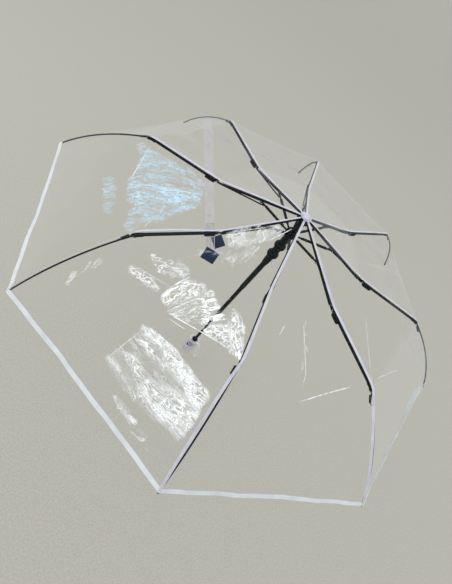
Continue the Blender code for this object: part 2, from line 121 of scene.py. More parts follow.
# Even sky light, and area lights as (name, place, target, size, power, colour)
SKY_COLOUR = (0.94, 0.97, 1.0, 1.0)
SKY_STRENGTH = 1.15
LIGHTS = [
    ("overhead", (-0.5, -0.6, 3.2), (0.0, 0.0, 0.3), (3.0, 3.0), 15.0, (1.0, 1.0, 1.0)),
    ("window", (1.9, -1.3, 1.7), (0.1, 0.0, 0.4), (1.6, 1.2), 14.0, (0.95, 0.98, 1.0)),
    ("fill", (-1.8, 1.8, 1.3), (0.0, 0.0, 0.4), (1.8, 1.4), 5.0, (1.0, 1.0, 1.0)),
]

# Floor: a square reaching this far each way, this far below the lowest point
FLOOR_REACH = 40.0
FLOOR_DROP = 12.0 * MM

# Canopy film and its seams
HEM_SHARE = 0.985
COLUMNS = 88
ZONE_ROWS = (44, 38, 54)
ZONES = ("inner", "middle", "outer")
ZONE_BODIES = ("top_rib", "middle_rib", "outer_rib")
FILM_SAG = 3.0 * MM
# Clearance of the film over an outer rib's centre line
FILM_GAP = 2.3 * MM
# Within this distance of a rib the film is drawn smooth
FILM_HELD = 12.0 * MM
# Chord of a gore from which on its film sags in full
FULL_SAG_CHORD = 0.2
# Waves of the film as (turns per metre, height in mm), its creases' crumples, and its tension waves
FILM_RIPPLES = ((22.0, 1.6), (60.0, 0.45))
CRUMPLE_SCALE = 150.0
RIDGE_SCALE = 260.0
TENSION_LENGTH = 31.0 * MM
TENSION_HEIGHT = 0.35 * MM
TAPE_WIDTH = {1: 3.4 * MM, 2: 5.4 * MM, 3: 5.0 * MM, 4: 5.0 * MM, 5: 4.0 * MM, 6: 4.2 * MM, 8: 4.9 * MM}
OTHER_TAPE_WIDTH = 6.2 * MM
TAPE_THICKNESS = 0.25 * MM
TAPE_LIFT = 0.35 * MM
TAPE_STEP = 4.0 * MM
TAPE_COLUMNS = 7
HEM_WIDTH = {1: 9.5 * MM, 6: 14.0 * MM}
OTHER_HEM_WIDTH = 8.0 * MM
HEM_THICKNESS = 0.9 * MM
HEM_LIFT = 0.55 * MM
# Rows of the hem, as shares of its width inward from the film's edge
HEM_STEPS = (-0.1, 0.15, 0.4, 0.65, 0.9)
# The hem's width wanders by WANDER, its inner edge by half of that, and it lifts by FLUTTER
HEM_WANDER = 1.6 * MM
HEM_FLUTTER = 1.2 * MM
# How far a half gore's hem curls off the film
HEM_CURL = {(6, "a"): 12.0 * MM, (6, "b"): 6.0 * MM}
HEM_COVER = {1: 0.93, 6: 0.93, 7: 0.93, 8: 0.93}
OTHER_HEM_COVER = 0.16
FIRST_SEAM_SHIFT = 4.2 * MM
OUTER_SEAM_SHIFT = 5.2 * MM
# How white each rib's seam is below the outer hinge, where most of the welds stay clear
INNER_SEAM_COVER = 0.9
OUTER_SEAM_COVER = {7: 0.88, 8: 0.88}
OTHER_SEAM_COVER = 0.12

# Wrist loop: one side of its route from the handle, in the loop's own vertical plane
LOOP_AZIMUTH = math.radians(156.0)
LOOP_ROUTE = [(16.0, 2.6, 40.0), (19.0, 2.7, 40.2), (24.0, 3.2, 38.5), (29.0, 4.4, 32.0), (33.0, 6.2, 20.0),
              (35.5, 7.6, 4.0), (36.5, 7.6, -12.0), (37.0, 5.0, -24.0), (37.2, 0.0, -29.0)]
LOOP_WIDTH = 3.4 * MM
LOOP_THICKNESS = 1.5 * MM

# Runner, handle and button
KNURL_COUNT = 36
BUTTON_AZIMUTH = math.radians(8.0)
BUTTON_Z = 43.0 * MM

# Closure strap
STRAP_LENGTH = 270.0 * MM
STRAP_WIDTH = 24.0 * MM
STRAP_AZIMUTH = math.radians(108.0)
STRAP_TILT = math.radians(37.6)
STRAP_TWIST = math.radians(48.4)
STRAP_ROOT_SHARE = 0.42
STRAP_ROOT_DROP = 6.0 * MM
# How far down the strap its two press studs sit, in mm
STRAP_SNAPS = (60.0, 245.0)


# ---------------------------------------------------------------- materials

class Look:
    """A procedural material in the making. Its values are numbers, colours or other nodes' sockets."""

    def __init__(self, name, colour, roughness, metallic=0.0):
        self.material = bpy.data.materials.new(name)
        self.material.use_nodes = True
        self.nodes = self.material.node_tree.nodes
        self.surface({"Base Color": colour, "Roughness": roughness, "Metallic": metallic})

    def feed(self, socket, value):
        if isinstance(value, bpy.types.NodeSocket):
            self.material.node_tree.links.new(value, socket)
        else:
            socket.default_value = (*value, 1.0) if socket.type == "RGBA" else value

    def surface(self, inputs):
        for name, value in inputs.items():
            self.feed(self.nodes["Principled BSDF"].inputs[name], value)

    def node(self, kind, inputs, **settings):
        item = self.nodes.new("ShaderNode" + kind)
        for name, value in settings.items():
            setattr(item, name, value)
        for name, value in inputs.items():
            self.feed(item.inputs[name], value)
        return item.outputs

    def texture(self, kind, scale, place=None, settings=None, **inputs):
        """A procedural texture on object coordinates, or on the given socket."""
        if place is None:
            place = self.node("TexCoord", {})["Object"]
        return self.node(kind, {"Scale": scale, "Vector": place, **inputs}, **(settings or {}))

    def noise(self, scale, place=None, **inputs):
        return self.texture("TexNoise", scale, place, **inputs)["Fac"]

    def ramp(self, source, *stops):
        """Colours along a source, as (position, colour) stops."""
        item = self.nodes.new("ShaderNodeValToRGB")
        elements = item.color_ramp.elements
        while len(elements) < len(stops):
            elements.new(0.5)
        for element, (position, colour) in zip(elements, stops):
            element.position = position
            element.color = (*colour, 1.0)
        self.feed(item.inputs["Fac"], source)
        return item.outputs["Color"]

    def remap(self, source, low, high, to_low, to_high):
        inputs = {"Value": source, "From Min": low, "From Max": high, "To Min": to_low, "To Max": to_high}
        return self.node("MapRange", inputs)["Result"]

    def math(self, operation, first, second=0.0):
        return self.node("Math", {0: first, 1: second}, operation=operation)["Value"]

    def times(self, first, second):
        return self.math("MULTIPLY", first, second)

    def plus(self, first, second):
        return self.math("ADD", first, second)

    def most(self, first, second):
        return self.math("MAXIMUM", first, second)

    def rest(self, share):
        return self.math("SUBTRACT", 1.0, share)

    def distance(self, source, level):
        return self.math("ABSOLUTE", self.math("SUBTRACT", source, level))

    def threads(self, source, width):
        """Thin lines along one level of a noise."""
        return self.remap(self.distance(source, 0.5), width * 0.35, width, 1.0, 0.0)

    def mix(self, share, first, second):
        return self.node("Mix", {"Factor": share, "A": first, "B": second}, data_type="RGBA")["Result"]

    def attribute(self, name, output="Fac"):
        return self.node("Attribute", {}, attribute_name=name)[output]

    def facing(self, blend):
        return self.node("LayerWeight", {"Blend": blend})["Facing"]

    def bump(self, height, strength, depth):
        relief = self.node("Bump", {"Height": height, "Strength": strength, "Distance": depth})
        self.surface({"Normal": relief["Normal"]})


def mottled(name, colour, blotches, stops, gloss, relief=None, metallic=0.0, specular=0.5):
    """A surface whose colour, gloss (one roughness, or two) and relief (strength, depth) follow one noise.

    The noise is (scale, detail, roughness).
    """
    look = Look(name, colour, sum(gloss) / len(gloss), metallic)
    scale, detail, coarse = blotches
    fac = look.noise(scale, Detail=detail, Roughness=coarse)
    look.surface({"Base Color": look.ramp(fac, *stops), "Specular IOR Level": specular})
    if len(gloss) > 1:
        look.surface({"Roughness": look.remap(fac, 0.3, 0.7, *gloss)})
    if relief:
        look.bump(fac, *relief)
    return look


def black_steel():
    """Black lacquer over steel, with fine streaks and small worn spots."""
    look = mottled("black_steel", (0.006, 0.008, 0.009), (180.0, 6.0, 0.65),
                   [(0.0, (0.002, 0.004, 0.005)), (0.66, (0.006, 0.010, 0.011)),
                    (0.78, (0.04, 0.045, 0.05))],
                   (0.26, 0.48), specular=0.12)
    look.bump(look.noise(900.0, Detail=3.0), 0.12, 0.0002)
    return look.material


def clear_film():
    """Clear vinyl: faint haze, fine rippled relief, and painted white glints where the sheet is creased.

    Attributes of the sheet: "crease_and_glint" says how creased it is and how strong its painted
    glints are, "bold" whether the glints are broad pools or fine facets, "blue_glint" how blue they
    are, and "streak" gives surface coordinates in metres, drawn out along the creases.
    """
    look = Look("clear_film", (0.86, 0.90, 0.89), 0.1)
    remap, times, plus, most = look.remap, look.times, look.plus, look.most
    amount, bold, blue_glint = (look.attribute(name) for name in ("crease_and_glint", "bold", "blue_glint"))
    place = look.attribute("streak", "Vector")
    push = look.texture("TexNoise", 70.0, place, Detail=2.0)["Color"]
    stir = (0.012, 0.012, 0.012)
    bent = look.node("VectorMath", {0: push, 1: stir, 2: place}, operation="MULTIPLY_ADD")["Vector"]

    def noisy(scale, detail, distortion, where=place):
        return look.noise(scale, where, Detail=detail, Roughness=0.55, Distortion=distortion)

    def cells(scale, feature, output):
        return look.texture("TexVoronoi", scale, bent, {"feature": feature})[output]

    # The marks built from here on are painted glints: white, and in places blue, highlights set into the
    # film's colour and opacity where the sheet is creased.
    ragged = plus(amount, times(plus(noisy(85.0, 5.0, 0.8), -0.5), 1.7))
    crease_and_glint = times(remap(ragged, 0.34, 0.48, 0.0, 1.0), remap(amount, 0.03, 0.12, 0.0, 1.0))
    crease_and_glint = times(crease_and_glint, remap(amount, 0.0, 1.0, 0.25, 1.0))

    facets = remap(cells(120.0, "F1", "Color"), 0.46, 0.62, 0.0, 0.36)
    folds = remap(cells(140.0, "DISTANCE_TO_EDGE", "Distance"), 0.05, 0.085, 1.0, 0.0)
    hairs = most(look.threads(noisy(105.0, 2.0, 1.2, bent), 0.048),
                 times(look.threads(noisy(180.0, 2.0, 0.8, bent), 0.06), 0.8))
    cloud = remap(noisy(38.0, 3.0, 0.4), 0.40, 0.56, 0.25, 1.0)
    fine = times(plus(most(most(facets, times(folds, 0.55)), hairs), 0.05), cloud)

    pool_noise = plus(times(cells(115.0, "F1", "Color"), 0.34), times(noisy(115.0, 3.0, 1.2), 0.66))
    pools = remap(pool_noise, 0.588, 0.598, 0.0, 1.0)
    rims = most(look.threads(noisy(85.0, 3.0, 1.6), 0.028),
                look.threads(noisy(140.0, 3.0, 1.0, bent), 0.040))
    broad = plus(most(pools, times(rims, 0.75)), 0.04)

    swell = most(look.threads(noisy(110.0, 2.0, 0.8), 0.055),
                 times(look.threads(noisy(190.0, 2.0, 0.6, bent), 0.07), 0.8))
    ripple_glints = times(plus(times(swell, 0.78), 0.06), remap(noisy(60.0, 3.0, 0.5), 0.38, 0.60, 0.4, 1.0))
    painted_glint = plus(times(broad, bold), times(fine, look.rest(bold)))
    painted_glint = plus(times(painted_glint, look.rest(blue_glint)), times(ripple_glints, blue_glint))
    painted_glint = look.math("MINIMUM", times(painted_glint, crease_and_glint), 1.0)

    # Opacity is a faint real haze face on and rises edge on, where the white that shows is a painted
    # reflection of the film's gloss.
    haze_and_reflection = remap(look.facing(0.3), 0.3, 1.0, 0.004, 0.34)
    white = look.mix(painted_glint, (0.66, 0.71, 0.71), (1.0, 1.0, 1.0))
    look.surface({
        "Specular IOR Level": 0.35,
        "Alpha": look.math("MINIMUM", plus(haze_and_reflection, times(painted_glint, 0.95)), 0.97),
        "Base Color": look.mix(times(blue_glint, 0.8), white, (0.36, 0.70, 0.95))})
    look.bump(plus(noisy(34.0, 4.0, 0.6), times(painted_glint, 0.3)), 0.35, 0.002)
    return look.material


def painted_fold_glint():
    """Painted white glint along a sharp fold of the film, a highlight set into its colour;
    "crease_and_glint" says how strong.
    """
    look = Look("painted_fold_glint", (0.95, 0.97, 0.97), 0.25)
    breaks = look.noise(130.0, Detail=3.0)
    share = look.remap(breaks, 0.36, 0.56, 0.35, 1.0)
    look.surface({"Alpha": look.times(look.attribute("crease_and_glint"), share),
                  "Base Color": look.ramp(breaks, (0.3, (0.85, 0.88, 0.88)), (0.6, (1.0, 1.0, 1.0)))})
    return look.material


def woven_tape(name, low, high):
    """Pale woven tape with a row of stitches along each edge.

    The "band" attribute holds (across from -1 to 1, metres along, how opaque).
    """
    look = Look(name, low, 0.55)
    band = look.node("SeparateXYZ", {"Vector": look.attribute("band", "Vector")})
    across = look.math("ABSOLUTE", band["X"])
    row = look.remap(look.distance(across, 0.74), 0.05, 0.11, 1.0, 0.0)
    dash = look.math("SINE", look.times(band["Y"], 2100.0))
    stitch = look.times(row, look.remap(dash, -0.2, 0.2, 0.0, 1.0))
    weave = look.texture("TexWave", 520.0, Distortion=0.4, Detail=2.0)["Fac"]
    cloth = look.ramp(look.noise(40.0, Detail=5.0), (0.3, low), (0.7, high))
    sewn = look.mix(stitch, cloth, (0.78, 0.78, 0.82))
    # The tape is drawn darker along both its edges.
    rim = look.remap(across, 0.9, 1.0, 0.0, 0.35)
    look.surface({"Base Color": look.mix(rim, sewn, (0.30, 0.30, 0.34)), "Alpha": band["Z"]})
    look.bump(look.plus(look.times(weave, 0.35), stitch), 0.5, 0.0003)
    return look.material


def lilac_vinyl():
    """Translucent lilac vinyl with faint bands of haze."""
    look = Look("lilac_vinyl", (0.66, 0.62, 0.76), 0.3)
    haze = look.noise(60.0, Detail=4.0, Distortion=0.8)
    look.surface({"Base Color": look.ramp(haze, (0.3, (0.58, 0.54, 0.70)), (0.7, (0.76, 0.73, 0.84))),
                  "Alpha": look.remap(haze, 0.3, 0.7, 0.08, 0.18)})
    look.bump(haze, 0.2, 0.001)
    return look.material


def tinted_plastic(name, colours, scale, roughness, blend, cover, coat, clear_below=None):
    """Clear moulded plastic. cover is how opaque it is face on and edge on.

    colours are its own and the two that its flow marks run between. With a height given, it
    grows clearer below that height towards the handle's foot.
    """
    base, low, high = colours
    look = Look(name, base, roughness)
    flow = look.noise(scale, Detail=3.0, Distortion=1.0)
    alpha = look.remap(look.facing(blend), 0.1, 0.9, *cover)
    if clear_below:
        height = look.node("SeparateXYZ", {"Vector": look.node("TexCoord", {})["Object"]})["Z"]
        alpha = look.times(alpha, look.remap(height, 0.0, clear_below, 0.45, 1.0))
    look.surface({"Base Color": look.ramp(flow, (0.3, low), (0.7, high)), "Alpha": alpha,
                  "Coat Weight": coat, "Coat Roughness": 0.05})
    look.bump(flow, 0.15, 0.001)
    return look.material


STEEL = black_steel()
PLASTIC = mottled(
    "black_plastic", (0.005, 0.007, 0.008), (700.0, 4.0, 0.5),
    [(0.3, (0.002, 0.004, 0.005)), (0.75, (0.008, 0.011, 0.012))], (0.36, 0.54), (0.25, 0.0002),
    specular=0.12).material
BRIGHT = mottled(
    "bright_steel", (0.55, 0.56, 0.58), (1200.0, 2.0, 0.5),
    [(0.2, (0.42, 0.43, 0.45)), (0.8, (0.66, 0.67, 0.69))], (0.2, 0.42), metallic=1.0).material
PEARL = mottled(
    "pearl_plastic", (0.47, 0.45, 0.52), (120.0, 4.0, 0.5),
    [(0.3, (0.38, 0.365, 0.44)), (0.7, (0.52, 0.505, 0.57))], (0.3, 0.46), (0.1, 0.0003)).material
NAVY = mottled(
    "navy_card", (0.006, 0.028, 0.075), (260.0, 6.0, 0.7),
    [(0.3, (0.002, 0.010, 0.032)), (0.72, (0.006, 0.026, 0.064))], (0.5,), (0.3, 0.0003),
    specular=0.3).material
FLOOR = mottled(
    "plain_floor", (0.42, 0.40, 0.345), (260.0, 5.0, 0.7),
    [(0.25, (0.29, 0.275, 0.235)), (0.75, (0.44, 0.42, 0.365))], (0.9,)).material
FILM = clear_film()
FOLD_GLINT = painted_fold_glint()
TAPE = woven_tape("seam_tape", (0.45, 0.445, 0.51), (0.57, 0.565, 0.62))
HEM = woven_tape("hem_tape", (0.58, 0.61, 0.63), (0.70, 0.73, 0.74))
LILAC = lilac_vinyl()
CLEAR = tinted_plastic("clear_plastic", [(0.80, 0.78, 0.86), (0.70, 0.68, 0.80), (0.88, 0.87, 0.93)],
                       45.0, 0.08, 0.45, (0.2, 0.75), 0.6)
SMOKED = tinted_plastic("smoked_plastic", [(0.30, 0.28, 0.38), (0.30, 0.28, 0.38), (0.50, 0.48, 0.58)],
                        60.0, 0.12, 0.4, (0.13, 0.58), 0.5, 45.0 * MM)
SOCKET = tinted_plastic("socket_plastic", [(0.03, 0.028, 0.06), (0.03, 0.028, 0.06), (0.075, 0.07, 0.12)],
                        60.0, 0.12, 0.4, (0.55, 0.95), 0.5, 50.0 * MM)


# ---------------------------------------------------------------- mesh helpers

def mm(*values):
    """A point or a direction given in millimetres."""
    return Vector(values) * MM


def add_object(name, data):
    item = bpy.data.objects.new(name, data)
    bpy.context.scene.collection.objects.link(item)
    return item


def add_piece(name, mesh, material, body, slot=None, replaces=None):
    """Put a mesh in the scene as a piece. It may ride on a body and may stand for a CAD node."""
    item = add_object(name, mesh)
    mesh.materials.append(material)
    if body:
        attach(item, body)
    if replaces:
        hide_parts(replaces)
    return item


def smooth(mesh, angle):
    mesh.shade_smooth()
    mesh.set_sharp_from_angle(angle=math.radians(angle))


def mesh_from(bm, name, matrix=None, angle=SHARP_ANGLE):
    bmesh.ops.recalc_face_normals(bm, faces=bm.faces)
    if matrix is not None:
        bm.transform(matrix)
    mesh = bpy.data.meshes.new(name)
    bm.to_mesh(mesh)
    bm.free()
    smooth(mesh, angle)
    return mesh


def piece_from(bm, name, material, body, matrix=None, angle=SHARP_ANGLE, **options):
    return add_piece(name, mesh_from(bm, name, matrix, angle), material, body, **options)


def turned_piece(name, profile, segments, material, body, **options):
    """A piece turned from a closed profile of (radius, z) points in mm."""
    bm = bmesh.new()
    turned(bm, profile, segments)
    return piece_from(bm, name, material, body, **options)


def turned(bm, profile, segments):
    rings = []
    for radius, z in profile:
        if radius == 0.0:
            rings.append([bm.verts.new(mm(0.0, 0.0, z))] * segments)
            continue
        turns = [2.0 * math.pi * i / segments for i in range(segments)]
        rings.append([bm.verts.new(mm(radius * math.cos(a), radius * math.sin(a), z)) for a in turns])
    for ring, following in zip(rings, rings[1:] + rings[:1]):
        for i in range(segments):
            j = (i + 1) % segments
            corners = []
            for corner in (ring[i], ring[j], following[j], following[i]):
                if corner not in corners:
                    corners.append(corner)
            if len(corners) > 2:
                bm.faces.new(corners)


def rounded(profile, radius, steps=3):
    """A closed (radius, z) profile with its corners off the axis rounded."""
    result = []
    count = len(profile)
    for i, point in enumerate(profile):
        here = Vector(point)
        before = Vector(profile[i - 1]) - here
        after = Vector(profile[(i + 1) % count]) - here
        if here.x == 0.0:
            result.append(tuple(here))
            continue
        reach = min(radius, 0.45 * before.length, 0.45 * after.length)
        start = here + before.normalized() * reach
        end = here + after.normalized() * reach
        for step in range(steps + 1):
            t = step / steps
            spot = start * (1 - t) ** 2 + here * 2 * t * (1 - t) + end * t**2
            result.append((max(spot.x, 0.0), spot.y))
    return result


def add_sweep(bm, points, section, up=Vector((0.0, 0.0, 1.0))):
    """A closed bar along points. section(i) gives its (across, up) outline at point i."""
    rings = []
    for i, point in enumerate(points):
        ahead = points[min(i + 1, len(points) - 1)]
        behind = points[max(i - 1, 0)]
        along = (ahead - behind).normalized()
        across = along.cross(up)
        if across.length < 0.05:
            across = along.cross(Vector((0.0, 1.0, 0.0)))
        across.normalize()
        normal = across.cross(along)
        rings.append([bm.verts.new(point + across * x + normal * y) for x, y in section(i)])
    sides = len(rings[0])
    for ring, following in zip(rings, rings[1:]):
        for i in range(sides):
            j = (i + 1) % sides
            bm.faces.new((ring[i], ring[j], following[j], following[i]))
    bm.faces.new(rings[0])
    bm.faces.new(rings[-1])


def circle(radius, sides, squash=1.0):
    turns = [2.0 * math.pi * (i + 0.5) / sides for i in range(sides)]
    return [(radius * math.cos(t), radius * squash * math.sin(t)) for t in turns]


def add_box(bm, low, high, bevel):
    """A box between two corners in mm with rounded edges."""
    made = bmesh.ops.create_cube(bm, size=1.0)["verts"]
    size = mm(*high) - mm(*low)
    centre = (mm(*high) + mm(*low)) / 2.0
    for vert in made:
        vert.co = Vector([vert.co[k] * size[k] + centre[k] for k in range(3)])
    edges = list({edge for vert in made for edge in vert.link_edges})
    bmesh.ops.bevel(bm, geom=edges, offset=bevel * MM, segments=2, affect="EDGES", profile=0.5)


def absorb(bm, part):
    """Add another bmesh to this one and free it."""
    made = bpy.data.meshes.new("part")
    part.to_mesh(made)
    part.free()
    bm.from_mesh(made)
    bpy.data.meshes.remove(made)


def catmull(points, steps):
    """Points on a Catmull-Rom curve through a route."""
    ends = [points[0] * 2.0 - points[1]] + points + [points[-1] * 2.0 - points[-2]]
    result = []
    for a, b, c, d in zip(ends, ends[1:], ends[2:], ends[3:]):
        for step in range(steps):
            t = step / steps
            result.append(0.5 * (2.0 * b + (c - a) * t + (2.0 * a - 5.0 * b + 4.0 * c - d) * t**2
                                 + (3.0 * b - a - 3.0 * c + d) * t**3))
    return result + [points[-1]]


# ---------------------------------------------------------------- rib geometry

def rib_turn(index):
    return Matrix.Rotation(-2.0 * HALF_STEP * index, 4, "Z")


def tilted(place, slope):
    return Matrix.Translation(place) @ Matrix.Rotation(slope, 4, "Y")


TOP_FRAME = tilted(NOTCH_PIVOT, TOP_SLOPE)
MIDDLE_FRAME = tilted(MIDDLE_PIVOT, MIDDLE_SLOPE)
OUTER_FRAME = tilted(OUTER_PIVOT, OUTER_SLOPE)


def bow_point(share):
    """A point of the outer rib's centre line in its own x-z frame, and its direction angle."""
    half = OUTER_RIB_CHORD / 2.0
    radius = (half**2 + OUTER_RIB_BOW**2) / (2.0 * OUTER_RIB_BOW)
    reach = math.asin(half / radius)
    angle = reach * (2.0 * share - 1.0)
    return half + radius * math.sin(angle), radius * math.cos(angle) - (radius - OUTER_RIB_BOW), angle


def chaikin(points):
    """Two rounds of corner cutting that keep the end points."""
    for _ in range(2):
        cut = [points[0]]
        for a, b in zip(points, points[1:]):
            cut += [a * 0.75 + b * 0.25, a * 0.25 + b * 0.75]
        points = cut + [points[-1]]
    return points


def film_line():
    """The film's line over a rib as (out, z) rows, their distances along it and the zone borders.

    It hangs between the crown and the hinges a few millimetres clear of the ribs, and follows
    the bowed outer rib closely to the hem.
    """
    top = [(24.0, 6.8), (80.0, 8.0), (146.0, 9.4), (163.0, 10.4), (170.0, 11.2)]
    middle = [(7.0, 4.9), (16.0, 4.8), (MIDDLE_LENGTH / MM - 24.0, 4.2), (MIDDLE_LENGTH / MM - 2.0, 2.4)]
    spots = [Vector((6.6 * MM, 0.0, CROWN_Z - 1.0 * MM)), Vector((14.0 * MM, 0.0, CROWN_Z - 2.0 * MM))]
    spots += [TOP_FRAME @ Vector((x * MM, 0.0, z * MM)) for x, z in top]
    spots += [MIDDLE_FRAME @ Vector((x * MM, 0.0, z * MM)) for x, z in middle]
    for step in range(1, 13):
        x, z, angle = bow_point(HEM_SHARE * step / 12.0)
        x, z = x + FILM_GAP * math.sin(angle), z + FILM_GAP * math.cos(angle)
        spots.append(OUTER_FRAME @ Vector((x, 0.0, z)))
    line = np.array([(p.x, p.z) for p in chaikin(spots)])
    lengths = np.concatenate([[0.0], np.cumsum(np.linalg.norm(np.diff(line, axis=0), axis=1))])
    borders = [0.0]
    for joint in (MIDDLE_PIVOT, OUTER_PIVOT):
        nearest = np.argmin(np.linalg.norm(line - np.array((joint.x, joint.z)), axis=1))
        borders.append(lengths[nearest])
    borders.append(lengths[-1])
    stations = [np.linspace(a, b, n + 1) for a, b, n in zip(borders, borders[1:], ZONE_ROWS)]
    places = np.concatenate([stations[0], stations[1][1:], stations[2][1:]])
    rows = np.stack([np.interp(places, lengths, line[:, k]) for k in (0, 1)], axis=1)
    return rows, places, borders


ROWS, PLACES, BORDERS = film_line()
TANGENTS = np.gradient(ROWS, axis=0)
TANGENTS /= np.linalg.norm(TANGENTS, axis=1)[:, None]
NORMALS = np.stack([-TANGENTS[:, 1], TANGENTS[:, 0]], axis=1)
ZONE_STARTS = np.cumsum((0,) + ZONE_ROWS)


def seam_spot(place, side, lift=0.0):
    """A point beside a seam, in rib 1's frame: metres along the film line, metres to the side, lift."""
    out, z = (np.interp(place, PLACES, ROWS[:, k]) for k in (0, 1))
    normal = [np.interp(place, PLACES, NORMALS[:, k]) for k in (0, 1)]
    return Vector((out - math.sin(HALF_STEP) * abs(side) + normal[0] * lift,
                   math.cos(HALF_STEP) * side,
                   z + normal[1] * lift))


# ---------------------------------------------------------------- camera, floor, light

def make_camera():
    data = bpy.data.cameras.new("camera")
    data.lens = CAMERA_LENS
    data.clip_start = 20.0 * MM
    item = add_object("camera", data)
    right = CAMERA_LOOK.cross(CAMERA_UP).normalized()
    up = right.cross(CAMERA_LOOK).normalized()
    turn = Matrix((right, up, -CAMERA_LOOK.normalized())).transposed().to_4x4()
    item.matrix_world = Matrix.Translation(CAMERA_PLACE) @ turn
    bpy.context.scene.camera = item


def make_floor():
    bm = bmesh.new()
    bmesh.ops.create_grid(bm, x_segments=4, y_segments=4, size=FLOOR_REACH)
    floor = add_object("floor", mesh_from(bm, "floor"))
    floor.data.materials.append(FLOOR)
    floor.location.z = CAD_BOX[0].z - FLOOR_DROP


def make_light():
    world = bpy.data.worlds.new("studio")
    world.use_nodes = True
    background = world.node_tree.nodes["Background"]
    background.inputs["Color"].default_value = SKY_COLOUR
    background.inputs["Strength"].default_value = SKY_STRENGTH
    bpy.context.scene.world = world
    for name, place, target, size, power, colour in LIGHTS:
        data = bpy.data.lights.new(name, "AREA")
        data.shape = "RECTANGLE"
        data.size, data.size_y = size
        data.energy = power
        data.color = colour
        item = add_object(name, data)
        item.location = place
        item.rotation_euler = (Vector(target) - Vector(place)).to_track_quat("-Z", "Y").to_euler()
    bpy.context.scene.view_settings.view_transform = "Standard"


# ---------------------------------------------------------------- wrist loop

def make_wrist_loop():
    """Flat translucent loop from the handle's side, hanging and coming back beside itself."""
    heading = Matrix.Rotation(LOOP_AZIMUTH, 3, "Z")
    mirrored = [(x, -y, z) for x, y, z in reversed(LOOP_ROUTE[:-1])]
    route = [heading @ (Vector(p) * MM) for p in LOOP_ROUTE + mirrored]
    path = catmull(route, 8)
    outward = heading @ Vector((1.0, 0.0, 0.0))
    bm = bmesh.new()
    add_sweep(bm, path, lambda i: circle(LOOP_WIDTH / 2.0, 12, LOOP_THICKNESS / LOOP_WIDTH), up=outward)
    loop = piece_from(bm, "wrist_strap", CLEAR, "grip", angle=60.0, slot="lilac_vinyl",
                      replaces="wrist_loop")


make_camera()
make_wrist_loop()
make_floor()
make_light()


# ---------------------------------------------------------------- canopy

# Creased areas of each gore and the painted glints on them, in mm: corners as (across from the gore's
# middle, along from the crown), how creased and how strong its painted glints are, whether the glints
# are broad, how blue they are, and the direction in which the creases run, in degrees from across to
# along. Gore 1 lies clockwise of rib 1. The glints are painted highlights set into the film's colour.
CREASE_GLINTS = {
    8: [
        ([(4, 409), (-4, 403), (-52, 395), (-94, 397), (-126, 397), (-130, 407), (-134, 424), (-113, 424),
          (-81, 424), (-54, 426), (-29, 424), (-10, 421)], 1.0, 0.0, 0.0, 3),
        ([(-10, 455), (-19, 452), (-65, 450), (-94, 450), (-87, 457), (-50, 460), (-19, 461)],
         0.95, 0.0, 0.0, 3),
        ([(5, 481), (-8, 475), (-39, 472), (-78, 464), (-114, 461), (-129, 465), (-122, 472), (-97, 481),
          (-69, 485), (-34, 484), (-7, 485)], 1.0, 0.0, 0.0, 3),
        ([(-75, 443), (-106, 420), (-125, 409), (-126, 398), (-138, 424), (-145, 445), (-148, 470),
          (-136, 472), (-114, 461), (-86, 463)], 0.95, 0.1, 0.0, 5),
        ([(4, 405), (-130, 395), (-148, 470), (5, 484)], 0.42, 0.0, 0.0, 3),
        ([(-46, 509), (-61, 509), (-91, 509), (-89, 513), (-67, 514), (-48, 512)], 0.9, 0.6, 0.0, 3),
        ([(-99, 524), (-103, 511), (-118, 508), (-136, 516), (-125, 520), (-107, 524)], 0.4, 0.1, 0.0, 20),
        ([(85, 366), (78, 361), (58, 352), (38, 353), (39, 357), (55, 364), (68, 365), (79, 369)],
         1.0, 1.0, 0.0, 20),
        ([(80, 327), (72, 323), (64, 320), (58, 305), (52, 320), (49, 329), (61, 332), (73, 331)],
         0.9, 1.0, 0.0, 60),
        ([(64, 311), (52, 292), (37, 288), (29, 305), (40, 327), (52, 320)], 0.6, 0.6, 0.0, 60),
        ([(20, 354), (21, 339), (19, 310), (9, 294), (0, 287), (-6, 303), (-2, 325), (2, 339), (10, 356)],
         1.0, 1.0, 0.0, 80),
        ([(-10, 288), (-19, 282), (-32, 291), (-45, 295), (-59, 298), (-78, 306), (-99, 324), (-84, 330),
          (-68, 336), (-48, 336), (-31, 320), (-20, 304)], 1.0, 1.0, 0.0, 70),
        ([(-2, 343), (-13, 310), (-26, 312), (-41, 329), (-33, 349), (-6, 361)], 0.62, 0.8, 0.0, 70),
        ([(-60, 273), (-71, 273), (-106, 305), (-117, 325), (-104, 327), (-85, 312)], 1.0, 1.0, 0.0, 140),
        ([(-93, 295), (-87, 277), (-106, 303), (-113, 318)], 0.5, 0.8, 0.0, 140),
        ([(52, 165), (50, 135), (42, 110), (19, 66), (4, 61), (5, 104), (19, 139), (24, 173), (37, 181)],
         0.55, 0.0, 0.0, 97),
        ([(28, 191), (21, 150), (6, 131), (-2, 160), (4, 207), (18, 220)], 0.42, 0.0, 0.0, 97),
        ([(139, 461), (136, 427), (128, 391), (124, 396), (129, 429), (133, 459)], 0.4, 0.0, 0.0, 88),
        ([(70, 240), (30, 200), (-40, 230), (-60, 270), (0, 280), (60, 280)], 0.2, 0.1, 0.0, 60),
    ],
    1: [
        ([(109, 348), (86, 319), (75, 285), (63, 237), (40, 208), (-16, 214), (-49, 253), (-85, 288),
          (-98, 321), (-121, 336), (-106, 344), (-60, 341), (-23, 352), (15, 351), (53, 338)],
         0.55, 0.0, 1.0, 98),
        ([(17, 403), (19, 387), (-31, 376), (-74, 377), (-65, 388)], 0.5, 0.0, 1.0, 98),
        ([(-16, 348), (7, 214), (-21, 220), (-47, 253), (-82, 325)], 0.9, 0.2, 0.85, 98),
    ],
    7: [([(10, 222), (-2, 222), (6, 347), (18, 347)], 0.22, 0.0, 0.0, 86)],
}
CREASE_STRETCH = 0.36
MASK_SOFTNESS = 9.0 * MM
